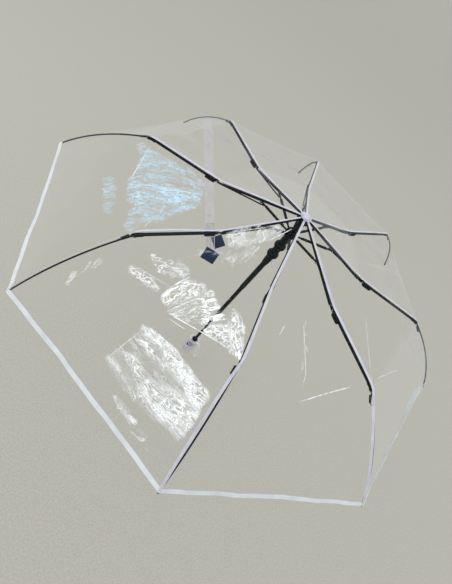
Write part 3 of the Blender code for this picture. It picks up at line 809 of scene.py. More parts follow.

# Sharp fold lines, in mm as above, with their strength: the package folds of the new canopy, drawn as thin
# strips of painted glint
FOLD_GLINTS = {
    8: [
        ([(-2, 365), (-49, 347), (-98, 328)], 0.95),
        ([(-9, 370), (-37, 361)], 0.6),
        ([(1, 365), (-5, 340), (-12, 312)], 0.8),
        ([(26, 337), (23, 294)], 0.6),
        ([(-3, 43), (4, 102)], 0.8),
        ([(3, 409), (5, 481)], 0.4),
        ([(89, 360), (27, 337), (-1, 365)], 0.3),
    ],
    1: [
        ([(-13, 348), (11, 208)], 0.75),
        ([(96, 322), (7, 351)], 0.6),
        ([(-109, 315), (-70, 289), (-44, 281)], 0.3),
    ],
    7: [([(5, 223), (13, 347)], 0.4), ([(11, 370), (-78, 330)], 0.75), ([(44, 240), (57, 263)], 0.4)],
    6: [([(9, 232), (106, 306), (122, 319)], 0.3), ([(100, 320), (6, 364)], 0.4),
        ([(-55, 305), (6, 364)], 0.15)],
    2: [([(-60, 310), (40, 330)], 0.2)],
    4: [([(-70, 300), (50, 320)], 0.2)],
    5: [([(10, 200), (0, 420)], 0.2)],
}
FOLD_LINE_WIDTH = 1.5 * MM
FOLD_LINE_LIFT = 0.25 * MM
FOLD_LINE_STEP = 4.0


def outline_mask(x, y, corners, softness):
    """1 inside an outline, fading to 0 over the softness outside it."""
    inside = np.zeros(x.shape, dtype=bool)
    nearest = np.full(x.shape, np.inf)
    for (ax, ay), (bx, by) in zip(corners, corners[1:] + corners[:1]):
        crosses = (ay > y) != (by > y)
        rise = by - ay if by != ay else 1e-9
        inside ^= crosses & (x < ax + (bx - ax) * (y - ay) / rise)
        reach = (bx - ax) ** 2 + (by - ay) ** 2
        share = np.clip(((x - ax) * (bx - ax) + (y - ay) * (by - ay)) / reach, 0.0, 1.0)
        nearest = np.minimum(nearest, np.hypot(x - ax - share * (bx - ax), y - ay - share * (by - ay)))
    return np.where(inside, 1.0, np.clip(1.0 - nearest / softness, 0.0, 1.0))


def gore_grid(gore):
    """Points and attributes of one gore's film as (rows, columns, ...) arrays.

    Column 0 lies over the rib of the same number and the last one over the next rib.
    """
    near = np.array(rib_turn(gore - 1).to_3x3())
    far = np.array(rib_turn(gore).to_3x3())
    share = np.linspace(0.0, 1.0, COLUMNS + 1)
    flat = np.stack([ROWS[:, 0], np.zeros(len(ROWS)), ROWS[:, 1]], axis=1)
    left, right = flat @ near.T, flat @ far.T
    points = left[:, None, :] * (1.0 - share)[None, :, None] + right[:, None, :] * share[None, :, None]
    up = np.stack([NORMALS[:, 0], np.zeros(len(ROWS)), NORMALS[:, 1]], axis=1)
    middle = np.array(Matrix.Rotation(-HALF_STEP * (2 * gore - 1), 3, "Z"))
    lean = (up @ middle.T)[:, None, :]
    chord = 2.0 * math.sin(HALF_STEP) * ROWS[:, 0][:, None]
    from_rib = chord * np.minimum(share, 1.0 - share)[None, :]
    across = chord * (share - 0.5)[None, :]
    along = np.repeat(PLACES[:, None], COLUMNS + 1, axis=1)
    crease_and_glint = np.zeros(across.shape)
    bold = np.zeros(across.shape)
    blue_glint = np.zeros(across.shape)
    turn = np.full(across.shape, 15.0 * gore)
    # Each outline sets how creased the sheet is and how strong, how broad and how blue its painted glints
    # are.
    for corners, strength, broad, blue_glint_share, angle in CREASE_GLINTS.get(gore, []):
        mask = outline_mask(across, along, [(x * MM, y * MM) for x, y in corners], MASK_SOFTNESS)
        stronger = mask * strength > crease_and_glint
        turn = np.where(stronger, angle, turn)
        bold = np.where(stronger, broad, bold)
        crease_and_glint = np.where(stronger, mask * strength, crease_and_glint)
        blue_glint = np.maximum(blue_glint, mask * blue_glint_share)
    free = np.clip(from_rib / FILM_HELD, 0.0, 1.0) ** 2
    lift = np.zeros(across.shape)
    for i in range(across.shape[0]):
        for j in range(across.shape[1]):
            spot = Vector((across[i, j], along[i, j], gore * 3.7))
            ripple = sum(noise.noise(spot * scale) * height for scale, height in FILM_RIPPLES)
            crumple = noise.noise(spot * CRUMPLE_SCALE) + 0.6 * abs(noise.noise(spot * RIDGE_SCALE))
            lift[i, j] = (ripple + crumple * crease_and_glint[i, j]) * MM
    tension = np.sin(along / TENSION_LENGTH + gore) * TENSION_HEIGHT
    sag = FILM_SAG * 4.0 * (share * (1.0 - share))[None, :] * np.clip(chord / FULL_SAG_CHORD, 0.0, 1.0)
    height = free * (lift + tension) - sag
    points = points + lean * height[:, :, None]
    turn = np.radians(turn)
    streak = np.stack([(across * np.cos(turn) + along * np.sin(turn)) * CREASE_STRETCH,
                       -across * np.sin(turn) + along * np.cos(turn),
                       np.full(across.shape, gore * 0.37)], axis=2)
    return points, {"crease_and_glint": crease_and_glint, "bold": bold, "blue_glint": blue_glint, "streak": streak}


def grid_normals(points):
    down = np.gradient(points, axis=0)
    over = np.gradient(points, axis=1)
    normals = np.cross(down, over)
    normals /= np.maximum(np.linalg.norm(normals, axis=2), 1e-12)[:, :, None]
    return normals


def grid_quads(rows, columns):
    index = np.arange(rows * columns).reshape(rows, columns)
    return np.stack([index[:-1, :-1], index[1:, :-1], index[1:, 1:], index[:-1, 1:]], axis=2).reshape(-1, 4)


def set_attribute(mesh, label, values):
    """Store one float or one vector per vertex."""
    kind, field = ("FLOAT_VECTOR", "vector") if values.ndim > 1 else ("FLOAT", "value")
    layer = mesh.attributes.new(label, kind, "POINT")
    layer.data.foreach_set(field, values.astype(np.float32).ravel())


def grid_mesh(name, points, normals, attributes):
    """A mesh of one rectangular grid of points, with the given normals and grids of attributes."""
    mesh = bpy.data.meshes.new(name)
    mesh.from_pydata(points.reshape(-1, 3).tolist(), [], grid_quads(*points.shape[:2]).tolist())
    mesh.shade_smooth()
    mesh.normals_split_custom_set_from_vertices(normals.reshape(-1, 3).tolist())
    for label, values in attributes.items():
        set_attribute(mesh, label, values.reshape((-1,) + values.shape[2:]))
    return mesh


# How the film would fold beside a rib as the umbrella closes, though nothing here moves it: for each
# zone, the tilt of the folding direction out of the film's own plane in degrees, its distance from the
# rib in mm on the link rod's side and on the other, and the share of its width that is kept
FOLD = {"inner": (0.0, 4.9, 3.7, 0.02), "middle": (0.0, 4.9, 3.7, 0.02), "outer": (-6.0, 2.0, 2.0, 0.03)}
ZONE_SLOPES = {"inner": TOP_SLOPE, "middle": MIDDLE_SLOPE, "outer": OUTER_SLOPE}


def fold_film(piece, side, zone):
    """Give a half gore its own copy of its mesh; the direction in which it would fold flat towards its rib,
    along the film's own plane, is worked out but not used.
    """
    extra, link_gap, plain_gap, keep = FOLD[zone]
    slope = ZONE_SLOPES[zone]
    along = Vector((math.cos(slope), 0.0, -math.sin(slope)))
    chord = Vector((-math.sin(HALF_STEP), math.cos(HALF_STEP), 0.0))
    level = (chord - along * chord.dot(along)).normalized()
    up = Vector((math.sin(slope), 0.0, math.cos(slope)))
    angle = math.atan2(level.dot(up), level.y) + math.radians(extra)
    axis = Vector((0.0, math.cos(angle), 0.0)) + up * math.sin(angle)
    axis.y *= side
    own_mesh(piece)


def grid_sample(grid, row, column):
    """Values of a grid at fractional rows and columns."""
    i = np.clip(np.floor(row).astype(int), 0, grid.shape[0] - 2)
    j = np.clip(np.floor(column).astype(int), 0, grid.shape[1] - 2)
    u, v = (row - i)[:, None], (column - j)[:, None]
    return ((grid[i, j] * (1 - v) + grid[i, j + 1] * v) * (1 - u)
            + (grid[i + 1, j] * (1 - v) + grid[i + 1, j + 1] * v) * u)


def make_fold_glints(gore, points, normals):
    """Thin strips of painted glint along the sharp folds of a gore, cut where its film pieces are cut."""
    strips = {}
    for corners, strength in FOLD_GLINTS.get(gore, []):
        for (ax, ay), (bx, by) in zip(corners, corners[1:]):
            steps = max(3, int(math.hypot(bx - ax, by - ay) / FOLD_LINE_STEP))
            share = np.linspace(0.0, 1.0, steps + 1)
            x, y = (ax + (bx - ax) * share) * MM, (ay + (by - ay) * share) * MM
            way = np.array([by - ay, -(bx - ax)]) / math.hypot(bx - ax, by - ay)
            sides = []
            taper = np.minimum(1.0, 6.0 * np.minimum(share, 1.0 - share) + 0.25)
            for offset in (-0.5, 0.5):
                px = x + way[0] * offset * FOLD_LINE_WIDTH * taper
                py = y + way[1] * offset * FOLD_LINE_WIDTH * taper
                row = np.interp(py, PLACES, np.arange(len(PLACES)))
                chord = 2.0 * math.sin(HALF_STEP) * np.interp(py, PLACES, ROWS[:, 0])
                column = np.clip(px / chord + 0.5, 0.0, 1.0) * COLUMNS
                spot, normal = grid_sample(points, row, column), grid_sample(normals, row, column)
                sides.append(spot + normal * FOLD_LINE_LIFT)
            for i in range(steps):
                row = np.interp((y[i] + y[i + 1]) / 2.0, PLACES, np.arange(len(PLACES)))
                zone = int(np.searchsorted(ZONE_STARTS[1:-1], row))
                label = "a" if x[i] + x[i + 1] < 0.0 else "b"
                strips.setdefault((ZONES[zone], label), []).append(
                    ([sides[0][i], sides[1][i], sides[1][i + 1], sides[0][i + 1]], strength))
    return strips


def strip_mesh(name, quads):
    mesh = bpy.data.meshes.new(name)
    mesh.from_pydata([tuple(corner) for corners, _ in quads for corner in corners], [],
                     [[4 * i, 4 * i + 1, 4 * i + 2, 4 * i + 3] for i in range(len(quads))])
    set_attribute(mesh, "crease_and_glint", np.repeat([strength for _, strength in quads], 4))
    mesh.shade_smooth()
    return mesh


def make_gore(gore):
    points, attributes = gore_grid(gore)
    normals = grid_normals(points)
    folds = make_fold_glints(gore, points, normals)
    half = COLUMNS // 2
    for number, zone in enumerate(ZONES):
        rows = slice(ZONE_STARTS[number], ZONE_STARTS[number + 1] + 1)
        for label, columns, rib, side in (("a", slice(0, half + 1), gore - 1, -1),
                                          ("b", slice(half, COLUMNS + 1), gore % RIB_COUNT, 1)):
            name = f"film_{gore}_{zone}_{label}"
            body = f"{ZONE_BODIES[number]}_{rib + 1}"
            part = points[rows, columns]
            mesh = grid_mesh(name, part, normals[rows, columns],
                             {key: values[rows, columns] for key, values in attributes.items()})
            piece = add_piece(name, mesh, FILM, body, replaces=f"canopy_panel_{gore}")
            trims = []
            # Thin strips of painted glint along the folds of this half gore
            if (zone, label) in folds:
                lines = strip_mesh(f"fold_{gore}_{zone}_{label}", folds[zone, label])
                trims.append(add_piece(lines.name, lines, FOLD_GLINT, body))
            if zone == "outer":
                trims.append(make_hem(gore, rib, points[:, columns], normals[:, columns], label))
            for item in [piece] + trims:
                fold_film(item, side, zone)


def slab(name, top, normals, thickness, band):
    """A closed thin slab over a grid of points. band holds (across, along, cover) for each point."""
    rows, columns = top.shape[:2]
    count = rows * columns
    both = np.concatenate([top.reshape(-1, 3), (top - normals * thickness).reshape(-1, 3)])
    index = np.arange(count).reshape(rows, columns)
    quads = grid_quads(rows, columns)
    edge = np.concatenate([index[0, :], index[1:, -1], index[-1, -2::-1], index[-2:0:-1, 0]])
    following = np.roll(edge, -1)
    walls = np.stack([edge, following, following + count, edge + count], axis=1)
    faces = np.concatenate([quads, (quads + count)[:, ::-1], walls])
    mesh = bpy.data.meshes.new(name)
    mesh.from_pydata(both.tolist(), [], faces.tolist())
    smooth(mesh, 50.0)
    flat = band.reshape(-1, 3)
    set_attribute(mesh, "band", np.concatenate([flat, flat]))
    return mesh


def make_hem(gore, rib, points, normals, label):
    """Hem tape of a half gore: wraps the film's edge, slightly wavy."""
    edge = points[-1]
    inward = points[-4] - edge
    inward /= np.linalg.norm(inward, axis=1)[:, None]
    width = HEM_WIDTH.get(gore, OTHER_HEM_WIDTH)
    steps = np.array(HEM_STEPS)
    wave = np.array([noise.noise(Vector((p[0] * 17.0, p[1] * 17.0, gore * 1.3))) for p in edge])
    flutter = np.array([noise.noise(Vector((p[0] * 23.0, p[1] * 23.0, gore * 2.1))) for p in edge])
    curl = HEM_CURL.get((gore, label), 0.0) * np.sin(math.pi * np.linspace(0.0, 1.0, len(edge)) ** 0.5)
    top = np.zeros((len(steps), len(edge), 3))
    for i, step in enumerate(steps):
        reach = step * width + HEM_WANDER * (wave + 0.5 * flutter * step)
        lift = HEM_LIFT + (HEM_FLUTTER * flutter + curl) * (steps[-1] - step)
        top[i] = edge + inward * reach[:, None] + normals[-1] * lift[:, None]
    distance = np.concatenate([[0.0], np.cumsum(np.linalg.norm(np.diff(edge, axis=0), axis=1))])
    band = np.zeros((len(steps), len(edge), 3))
    band[:, :, 0] = np.linspace(-1.0, 1.0, len(steps))[:, None]
    band[:, :, 1] = distance[None, :]
    band[:, :, 2] = HEM_COVER.get(gore, OTHER_HEM_COVER)
    normal = np.repeat(normals[-1][None], len(steps), axis=0)
    name = f"hem_{gore}_{label}"
    return add_piece(name, slab(name, top, normal, HEM_THICKNESS, band), HEM, f"outer_rib_{rib + 1}")


def seam_shift(rib, place):
    """How far a seam strays to the side of its rib: below the outer hinges, and on rib 1 above it."""
    outer = (place - BORDERS[2]) / (BORDERS[3] - BORDERS[2])
    middle = (place - BORDERS[1]) / (BORDERS[2] - BORDERS[1])
    if rib == 0:
        ease = min(max(middle / 0.6, 0.0), 1.0)
        return -FIRST_SEAM_SHIFT * ease * ease * (3.0 - 2.0 * ease) * min(1.0, 1.0 - max(outer, 0.0))
    return -OUTER_SEAM_SHIFT * math.sin(math.pi * min(max(outer, 0.0), 1.0)) ** 0.6


def seam_cover(rib, place):
    """How opaque a seam's tape is: white above the outer hinge, mostly a clear weld below it."""
    share = min(max((place - BORDERS[2] + 8.0 * MM) / (6.0 * MM), 0.0), 1.0)
    return INNER_SEAM_COVER * (1.0 - share) + OUTER_SEAM_COVER.get(rib + 1, OTHER_SEAM_COVER) * share


def tape_mesh(name, rib, start, end):
    """A length of seam tape between two places on the film line."""
    places = np.linspace(start, end, max(4, int((end - start) / TAPE_STEP) + 1))
    sides = np.linspace(-1.0, 1.0, TAPE_COLUMNS)
    width = TAPE_WIDTH.get(rib + 1, OTHER_TAPE_WIDTH)
    top = np.zeros((len(places), len(sides), 3))
    band = np.zeros((len(places), len(sides), 3))
    for i, place in enumerate(places):
        for j, side in enumerate(sides):
            top[i, j] = seam_spot(place, seam_shift(rib, place) + side * width / 2.0, TAPE_LIFT)
            band[i, j] = (side, place, seam_cover(rib, place))
    normals = grid_normals(top)
    if normals[..., 2].mean() < 0.0:
        normals = -normals
    mesh = slab(name, top, normals, TAPE_THICKNESS, band)
    mesh.transform(rib_turn(rib))
    return mesh


# Lengths of tape above the outer hinge: where they run, in mm from a zone border, the body they
# ride on, and the spot on that body, in its own x and z, that they would sink to as the umbrella
# closes, which nothing here reads
SEAM_PIECES = {
    "seam_inner": (0, 4.0, 1, -20.0, "top_rib", TOP_SLOPE, TOP_FRAME, (100.0, 4.95)),
    "seam_rise": (1, -20.0, 1, -3.0, "top_rib", TOP_SLOPE, TOP_FRAME, (160.0, 4.95)),
    "seam_fall": (1, -3.0, 1, 16.0, "middle_rib", MIDDLE_SLOPE, MIDDLE_FRAME, (8.0, 0.8)),
    "seam_middle": (1, 16.0, 2, -4.0, "middle_rib", MIDDLE_SLOPE, MIDDLE_FRAME, (80.0, 0.8)),
}


def make_seams(rib):
    for label, (first, before, last, after, body, slope, place, spot) in SEAM_PIECES.items():
        name = f"{label}_{rib + 1}"
        mesh = tape_mesh(name, rib, BORDERS[first] + before * MM, BORDERS[last] + after * MM)
        piece = add_piece(name, mesh, TAPE, f"{body}_{rib + 1}")
        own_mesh(piece)
    before, after = BORDERS[2] - 4.0 * MM, BORDERS[2] + 3.0 * MM
    name = f"seam_outer_{rib + 1}"
    add_piece(name, tape_mesh(name, rib, after, BORDERS[3] - 1.0 * MM), TAPE, f"outer_rib_{rib + 1}")
    name = f"seam_bend_{rib + 1}"
    bend = add_piece(name, tape_mesh(name, rib, before, after), TAPE, None)
    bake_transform(bend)


for gore in range(1, RIB_COUNT + 1):
    make_gore(gore)
for rib in range(RIB_COUNT):
    make_seams(rib)


# ---------------------------------------------------------------- ribs

def bowed_bar(bm, shares, radii, sides):
    """A round bar along the outer rib's bow, with its radii in mm at the given shares of the chord."""
    spots = [bow_point(share) for share in shares]
    add_sweep(bm, [Vector((x, 0.0, z)) for x, z, _ in spots], lambda i: circle(radii[i] * MM, sides),
              up=Vector((0.0, 1.0, 0.0)))


def make_outer_wire(rib):
    """Bowed wire with a flat eye at the hinge, a crimped sleeve beside it and a moulded ball tip."""
    first, last, steps = 0.006, 0.955, 44
    wire = [first + (last - first) * i / steps for i in range(steps + 1)]
    sleeve = [place * MM / OUTER_RIB_CHORD for place in (4.6, 5.0, 8.0, 11.0, 14.0, 15.2)]
    tip = [0.945, 0.948, 0.955, 0.975, 0.985, 0.993, 0.998, 1.0]
    bm = bmesh.new()
    bowed_bar(bm, wire, [WIRE_RADIUS / MM] * (steps + 1), 10)
    bowed_bar(bm, sleeve, [1.5, 1.65, 1.7, 1.7, 1.65, 1.45], 14)
    bowed_bar(bm, tip, [1.0, 1.35, 1.5, 1.5, 1.6, 1.7, 1.5, 0.7], 14)
    eye = bmesh.ops.create_cone(bm, cap_ends=True, segments=20, radius1=EYE_RADIUS, radius2=EYE_RADIUS,
                                depth=EYE_WIDTH)
    bmesh.ops.rotate(bm, verts=eye["verts"], cent=(0, 0, 0), matrix=Matrix.Rotation(math.pi / 2, 3, "X"))
    piece_from(bm, f"outer_wire_{rib + 1}", STEEL, f"outer_rib_{rib + 1}", rib_turn(rib) @ OUTER_FRAME,
               replaces=f"outer_rib_{rib + 1}")


def make_spring(rib):
    """Coil spring beside the outer hinge, hooked on the wire at both ends."""
    turns, wire, radius = 11, 0.55, 1.35
    start, end = 4.0, 18.0
    centre, rise = -4.6, 1.2
    steps = turns * 14
    points = [mm(3.2, -0.6, 0.0), mm(3.6, centre + 1.4, 0.0)]
    for i in range(steps + 1):
        share = i / steps
        angle = 2.0 * math.pi * turns * share
        points.append(mm(start + (end - start) * share,
                         centre + radius * math.cos(angle),
                         radius * math.sin(angle) + rise * share))
    x, z, _ = bow_point(24.0 * MM / OUTER_RIB_CHORD)
    points += [mm(20.5, centre + 1.2, 1.9), Vector((x, -WIRE_RADIUS, z)),
               Vector((x + 0.6 * MM, 0.0, z + WIRE_RADIUS))]
    bm = bmesh.new()
    add_sweep(bm, points, lambda i: circle(wire * MM, 6), up=Vector((0.0, 0.3, 1.0)))
    piece_from(bm, f"hinge_spring_{rib + 1}", STEEL, f"outer_rib_{rib + 1}", rib_turn(rib) @ OUTER_FRAME,
               80.0)


def make_joint_shells(rib):
    """Ribbed plastic shell over the mid joint's block, and the outer hinge's moulded fork cover."""
    shell = bmesh.new()
    add_box(shell, (4.2, -3.0, -7.2), (25.0, 3.0, 0.85), 0.8)
    for i in range(7):
        x = 8.0 + 2.2 * i
        add_box(shell, (x, -3.3, -7.6), (x + 1.1, 3.05, 0.2), 0.25)
    cover = bmesh.new()
    length = MIDDLE_LENGTH / MM
    add_box(cover, (length - 17.0, -2.9, -3.9), (length - 3.6, 3.3, 0.5), 0.7)
    for name, bm in (("mid", shell), ("outer", cover)):
        piece_from(bm, f"{name}_joint_shell_{rib + 1}", PLASTIC, f"middle_rib_{rib + 1}",
                   rib_turn(rib) @ MIDDLE_FRAME)


def channel_section(inner, half_width, low, high):
    """Outline of a folded channel, open below, as (side, height) points in mm."""
    wall, ease = 0.35, 0.28
    return [(-half_width, low), (-half_width, high - ease), (-half_width + ease, high),
            (half_width - ease, high), (half_width, high - ease), (half_width, low),
            (inner, low), (inner, high - wall), (-inner, high - wall), (-inner, low)]


def make_channel(name, body, rib, place, start, end, section):
    """A straight folded-steel channel along a rib, around its bar."""
    bm = bmesh.new()
    rings = [[bm.verts.new(mm(x, side, height)) for side, height in section] for x in (start, end)]
    count = len(section)
    for i in range(count):
        j = (i + 1) % count
        bm.faces.new((rings[0][i], rings[0][j], rings[1][j], rings[1][i]))
    bm.faces.new(rings[0])
    bm.faces.new(rings[1])
    piece_from(bm, f"{name}_{rib + 1}", STEEL, f"{body}_{rib + 1}", rib_turn(rib) @ place, 50.0)


def make_channels(rib):
    make_channel("top_channel", "top_rib", rib, TOP_FRAME, 6.0, 158.0,
                 channel_section(1.95, 2.5, 1.4, 4.75))
    make_channel("middle_channel", "middle_rib", rib, MIDDLE_FRAME, 22.0, MIDDLE_LENGTH / MM - 13.0,
                 channel_section(1.45, 2.4, -2.8, 0.55))
    far = Vector((NOTCH_PIVOT.x, 0.0, 2.0 * STRETCHER_PIVOT.z - NOTCH_PIVOT.z))
    way = far - STRETCHER_PIVOT
    place = Matrix.Translation(STRETCHER_PIVOT) @ Matrix.Rotation(math.atan2(-way.z, way.x), 4, "Y")
    make_channel("stretcher_channel", "stretcher", rib, place, 13.0, 66.0,
                 channel_section(1.25, 2.2, -1.75, 1.75))


def add_rivet(bm, place, half_length):
    """Two domed rivet heads on a pin that runs sideways through a hinge."""
    for way in (-1.0, 1.0):
        head = bmesh.ops.create_uvsphere(bm, u_segments=14, v_segments=8, radius=RIVET_RADIUS)["verts"]
        for vert in head:
            vert.co = Vector((vert.co.x, vert.co.y * RIVET_DOME, vert.co.z))
            vert.co += place + mm(0.0, way * (half_length + 0.05), 0.0)


def make_rivets(rib):
    sets = {
        "top_rib": [(TOP_FRAME @ mm(77.0, 0.0, 0.0), 2.6)],
        "middle_rib": [(MIDDLE_FRAME @ Vector(), 2.6),
                       (MIDDLE_FRAME @ Vector((MIDDLE_LENGTH, 0.0, -OUTER_PIVOT_DROP)), 2.4)],
    }
    for body, places in sets.items():
        bm = bmesh.new()
        for place, half_length in places:
            add_rivet(bm, place, half_length)
        piece_from(bm, f"rivets_{body}_{rib + 1}", BRIGHT, f"{body}_{rib + 1}", rib_turn(rib))


for rib in range(RIB_COUNT):
    make_outer_wire(rib)
    make_spring(rib)
    make_joint_shells(rib)
    make_channels(rib)
    make_rivets(rib)


# ---------------------------------------------------------------- crown, shaft and runner

def make_crown():
    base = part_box("top_cap")[0].z / MM
    dome = [(0.0, 5.2), (1.6, 5.15), (2.4, 4.6), (5.4, 4.0), (8.4, 2.7), (9.8, 1.2), (10.0, 0.2),
            (9.6, 0.0), (0.0, 0.0)]
    washer = [(12.4, -0.15), (12.4, -0.65), (6.4, -0.65), (6.4, -0.15)]
    turned_piece("crown_cap", rounded([(x, base + z) for x, z in dome], 0.8), 64, PEARL, "crown",
                 replaces="top_cap")
    turned_piece("crown_washer", [(x, base + z) for x, z in washer], 64, PEARL, "crown")


def make_tube(name, outer, inner, body):
    low, high = (corner.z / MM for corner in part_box(f"shaft_{name}"))
    profile = rounded([(outer, high), (outer, low), (inner, low), (inner, high)], 0.25)
    turned_piece(name, profile, 64, STEEL, body, slot="shaft_steel", replaces=f"shaft_{name}")


def make_runner_sleeve():
    """Turned sleeve with two knurled finger rings and a tapered skirt."""
    low, high = (corner.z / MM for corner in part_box("runner_sleeve"))
    crown = CROWN_Z / MM
    bore, neck, swell, half_height = 6.4, 8.4, 4.0, 7.0
    ring_places = (crown - 89.0, crown - 117.0)
    profile = [(bore, high), (neck, high)]
    for centre in ring_places:
        for step in range(9):
            angle = math.pi * step / 8.0
            profile.append((neck + swell * math.sin(angle), centre + half_height * math.cos(angle)))
    profile += [(8.2, crown - 136.0), (6.9, low + 0.4), (6.8, low), (bore, low)]
    turned_piece("runner_grip", profile, 72, PLASTIC, "runner", replaces="runner_sleeve")
    bm = bmesh.new()
    for centre in ring_places:
        for i in range(KNURL_COUNT):
            turn = Matrix.Rotation(2.0 * math.pi * i / KNURL_COUNT, 3, "Z")
            leans = [math.radians(-42.0 + 14.0 * step) for step in range(7)]
            points = [turn @ mm(neck + swell * math.cos(lean), 0.0, centre + half_height * math.sin(lean))
                      for lean in leans]
            add_sweep(bm, points, lambda i: circle(0.34 * MM, 5))
    piece_from(bm, "runner_knurl", PLASTIC, "runner")


def finish_cad_node(name, material, bevel):
    """Give a carried-over CAD node its finish, eased edges and smooth shading."""
    item = frame["nodes"][name]
    item.data.materials.clear()
    item.data.materials.append(material)
    item.data.shade_smooth()
    weld = item.modifiers.new("weld", "WELD")
    weld.merge_threshold = 0.01 * MM
    ease = item.modifiers.new("ease", "BEVEL")
    ease.width = bevel
    ease.segments = 2
    ease.limit_method = "ANGLE"
    ease.angle_limit = math.radians(35.0)
    ease.harden_normals = True


make_crown()
make_tube("upper_tube", 6.0, 5.4, "crown")
make_tube("middle_tube", 5.0, 4.4, "middle_tube")
make_tube("lower_tube", 4.0, 3.3, "grip")
make_runner_sleeve()
for part in ("runner", "top_notch"):
    finish_cad_node(part, PLASTIC, 0.25 * MM)
for rib in range(1, RIB_COUNT + 1):
    for part in ("top_rib", "stretcher", "link_rod", "middle_rib"):
        finish_cad_node(f"{part}_{rib}", STEEL, 0.12 * MM)


# ---------------------------------------------------------------- handle

def make_handle():
    """Clear cup with a pale collar ring, a dark bush in its mouth and a dark socket for the tube."""
    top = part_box("handle")[1].z / MM
    cup = [(0.0, 0.4), (12.5, 0.0), (14.5, 0.2), (16.6, 2.0), (17.4, 8.0), (17.1, 20.0), (15.4, 34.0),
           (14.6, 46.0), (14.8, 54.0), (15.2, top - 4.0), (15.2, top - 1.0), (12.8, top - 1.0),
           (12.4, 52.0), (12.2, 34.0), (13.8, 20.0), (13.8, 8.0), (12.0, 4.0), (0.0, 3.4)]
    collar = [(15.4, top - 3.2), (15.5, top - 0.8), (14.9, top), (9.4, top), (8.6, top - 0.6),
              (8.6, top - 3.0), (9.4, top - 3.2)]
    bush = [(4.3, 52.0), (6.6, 52.0), (7.0, top - 2.0), (8.2, top + 0.2), (7.6, top + 1.2),
            (4.3, top + 1.2)]
    socket = [(7.4, top - 3.3), (7.0, 34.0), (6.2, 27.0), (4.0, 25.0), (0.0, 25.0), (0.0, 30.4),
              (4.3, 30.4), (4.3, top - 3.3)]
    turned_piece("handle_cup", rounded(cup, 1.2, 4), 80, SMOKED, "grip", angle=60.0, replaces="handle")
    turned_piece("handle_collar", rounded(collar, 0.6), 80, CLEAR, "grip")
    turned_piece("handle_bush", rounded(bush, 0.3), 64, PLASTIC, "grip")
    turned_piece("handle_socket", rounded(socket, 0.6), 64, SOCKET, "grip")


def make_button():
    """Round push button in the handle's side, with a clear bezel."""
    turn = Matrix.Rotation(BUTTON_AZIMUTH, 4, "Z") @ Matrix.Rotation(math.pi / 2.0, 4, "Y")
    place = Matrix.Translation((0.0, 0.0, BUTTON_Z)) @ turn
    body = [(0.0, 10.8), (3.4, 10.8), (3.6, 11.4), (3.6, 15.2), (3.2, 16.0), (2.4, 16.2), (1.9, 15.9),
            (0.0, 15.7)]
    bezel = [(4.0, 11.0), (5.4, 11.0), (5.4, 15.0), (4.9, 15.6), (4.0, 15.6)]
    turned_piece("release_button", rounded(body, 0.35), 40, PLASTIC, "button", matrix=place,
                 replaces="push_button")
    turned_piece("button_bezel", rounded(bezel, 0.3), 40, CLEAR, "grip", matrix=place)


make_handle()
make_button()


# ---------------------------------------------------------------- closure strap and its tag

def strap_frame():
    """Frame of the closure strap: origin at its sewn end, +X across it, -Z along its length."""
    x, z, _ = bow_point(STRAP_ROOT_SHARE)
    root = rib_turn(2) @ OUTER_FRAME @ Vector((x, 0.0, z))
    root.z -= STRAP_ROOT_DROP
    hang = Matrix.Rotation(STRAP_AZIMUTH, 4, "Z") @ Matrix.Rotation(-STRAP_TILT, 4, "Y")
    return Matrix.Translation(root) @ hang @ Matrix.Rotation(math.pi / 2.0 - STRAP_TWIST, 4, "Z")


def fold_strap(piece):
    """Give a piece of the strap its own copy of its mesh; it is not flattened towards its sewn end as the
    ribs fold.
    """
    place = strap_frame()
    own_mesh(piece)


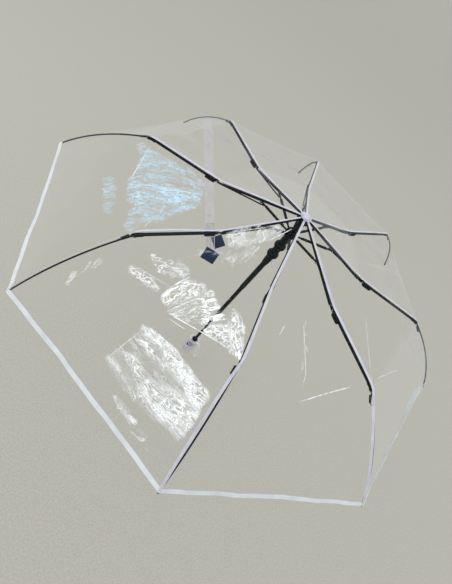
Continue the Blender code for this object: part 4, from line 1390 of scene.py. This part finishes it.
def make_strap():
    """Translucent strap with a crowned section and two press studs."""
    place = strap_frame()
    rows, columns = 55, 7
    crown, sway, sway_length, thickness = 0.9 * MM, 1.2 * MM, 34.0 * MM, 0.5 * MM
    top = np.zeros((rows, columns, 3))
    normals = np.zeros((rows, columns, 3))
    band = np.ones((rows, columns, 3))
    for i in range(rows):
        down = STRAP_LENGTH * i / (rows - 1)
        for j in range(columns):
            share = 2.0 * j / (columns - 1) - 1.0
            bulge = crown * (1.0 - share * share)
            wave = sway * math.sin(down / sway_length) * math.sin(math.pi * down / STRAP_LENGTH)
            top[i, j] = (share * STRAP_WIDTH / 2.0, 0.6 * MM + bulge + wave, -down)
            normals[i, j] = (0.0, 1.0, 0.0)
            band[i, j] = (share, down, 1.0)
    mesh = slab("tie_strap", top, normals, thickness, band)
    mesh.transform(place)
    strap = add_piece("tie_strap", mesh, LILAC, "outer_rib_3", replaces="closure_strap")
    stud = [(0.0, -1.6), (4.6, -1.6), (4.6, 0.2), (3.2, 1.0), (1.6, 1.0), (1.3, 0.5), (0.0, 0.5)]
    bm = bmesh.new()
    for down in STRAP_SNAPS:
        snap = bmesh.new()
        turned(snap, rounded(stud, 0.3), 28)
        spot = Matrix.Translation(mm(0.0, 1.9, -down)) @ Matrix.Rotation(-math.pi / 2.0, 4, "X")
        snap.transform(place @ spot)
        absorb(bm, snap)
    snaps = piece_from(bm, "strap_snaps", SMOKED, "outer_rib_3")
    fold_strap(snaps)
    fold_strap(strap)


def add_card(bm, size, place, lean):
    """A thin card with eased edges, turned in its own plane; sizes and place in mm."""
    card = bmesh.new()
    half = (size[0] / 2.0, 0.25, size[1] / 2.0)
    add_box(card, [-side for side in half], half, 0.12)
    card.transform(Matrix.Translation(mm(*place)) @ Matrix.Rotation(math.radians(lean), 4, "Y"))
    absorb(bm, card)


def make_tags():
    """Pleated sleeve that hangs from the strap's end, with pale stripes that are painted highlights along
    its pleats, and two dark blank cards.
    """
    place = strap_frame()
    end = -STRAP_LENGTH / MM
    top, bottom = end + 4.0, end - 84.0
    sleeve = bmesh.new()
    add_box(sleeve, (-13.0, -1.4, bottom), (13.0, 0.4, top), 0.5)
    for x in (-7.5, 0.5, 8.0):
        add_box(sleeve, (x - 0.7, -1.9, bottom + 2.0), (x + 0.7, 0.8, top - 1.0), 0.3)
    # Pale stripes over the pleats: painted highlights of the clear sleeve, in an opaque pale material.
    sleeve_highlights = bmesh.new()
    for x in (-11.6, -1.6, 11.6):
        add_box(sleeve_highlights, (x - 1.0, -2.0, bottom + 2.0), (x + 1.0, 0.9, top - 1.0), 0.4)
    cards = bmesh.new()
    add_card(cards, (42.0, 38.0), (-2.0, -3.0, end - 92.0), 33.0)
    add_card(cards, (32.0, 36.0), (22.0, 3.2, end - 52.0), -18.0)
    for name, bm, material, node in (("tag_sleeve", sleeve, SMOKED, None),
                                     ("tag_sleeve_highlights", sleeve_highlights, PEARL, None),
                                     ("tag_cards", cards, NAVY, "strap_tag")):
        fold_strap(piece_from(bm, name, material, "outer_rib_3", place, replaces=node))


make_strap()
make_tags()
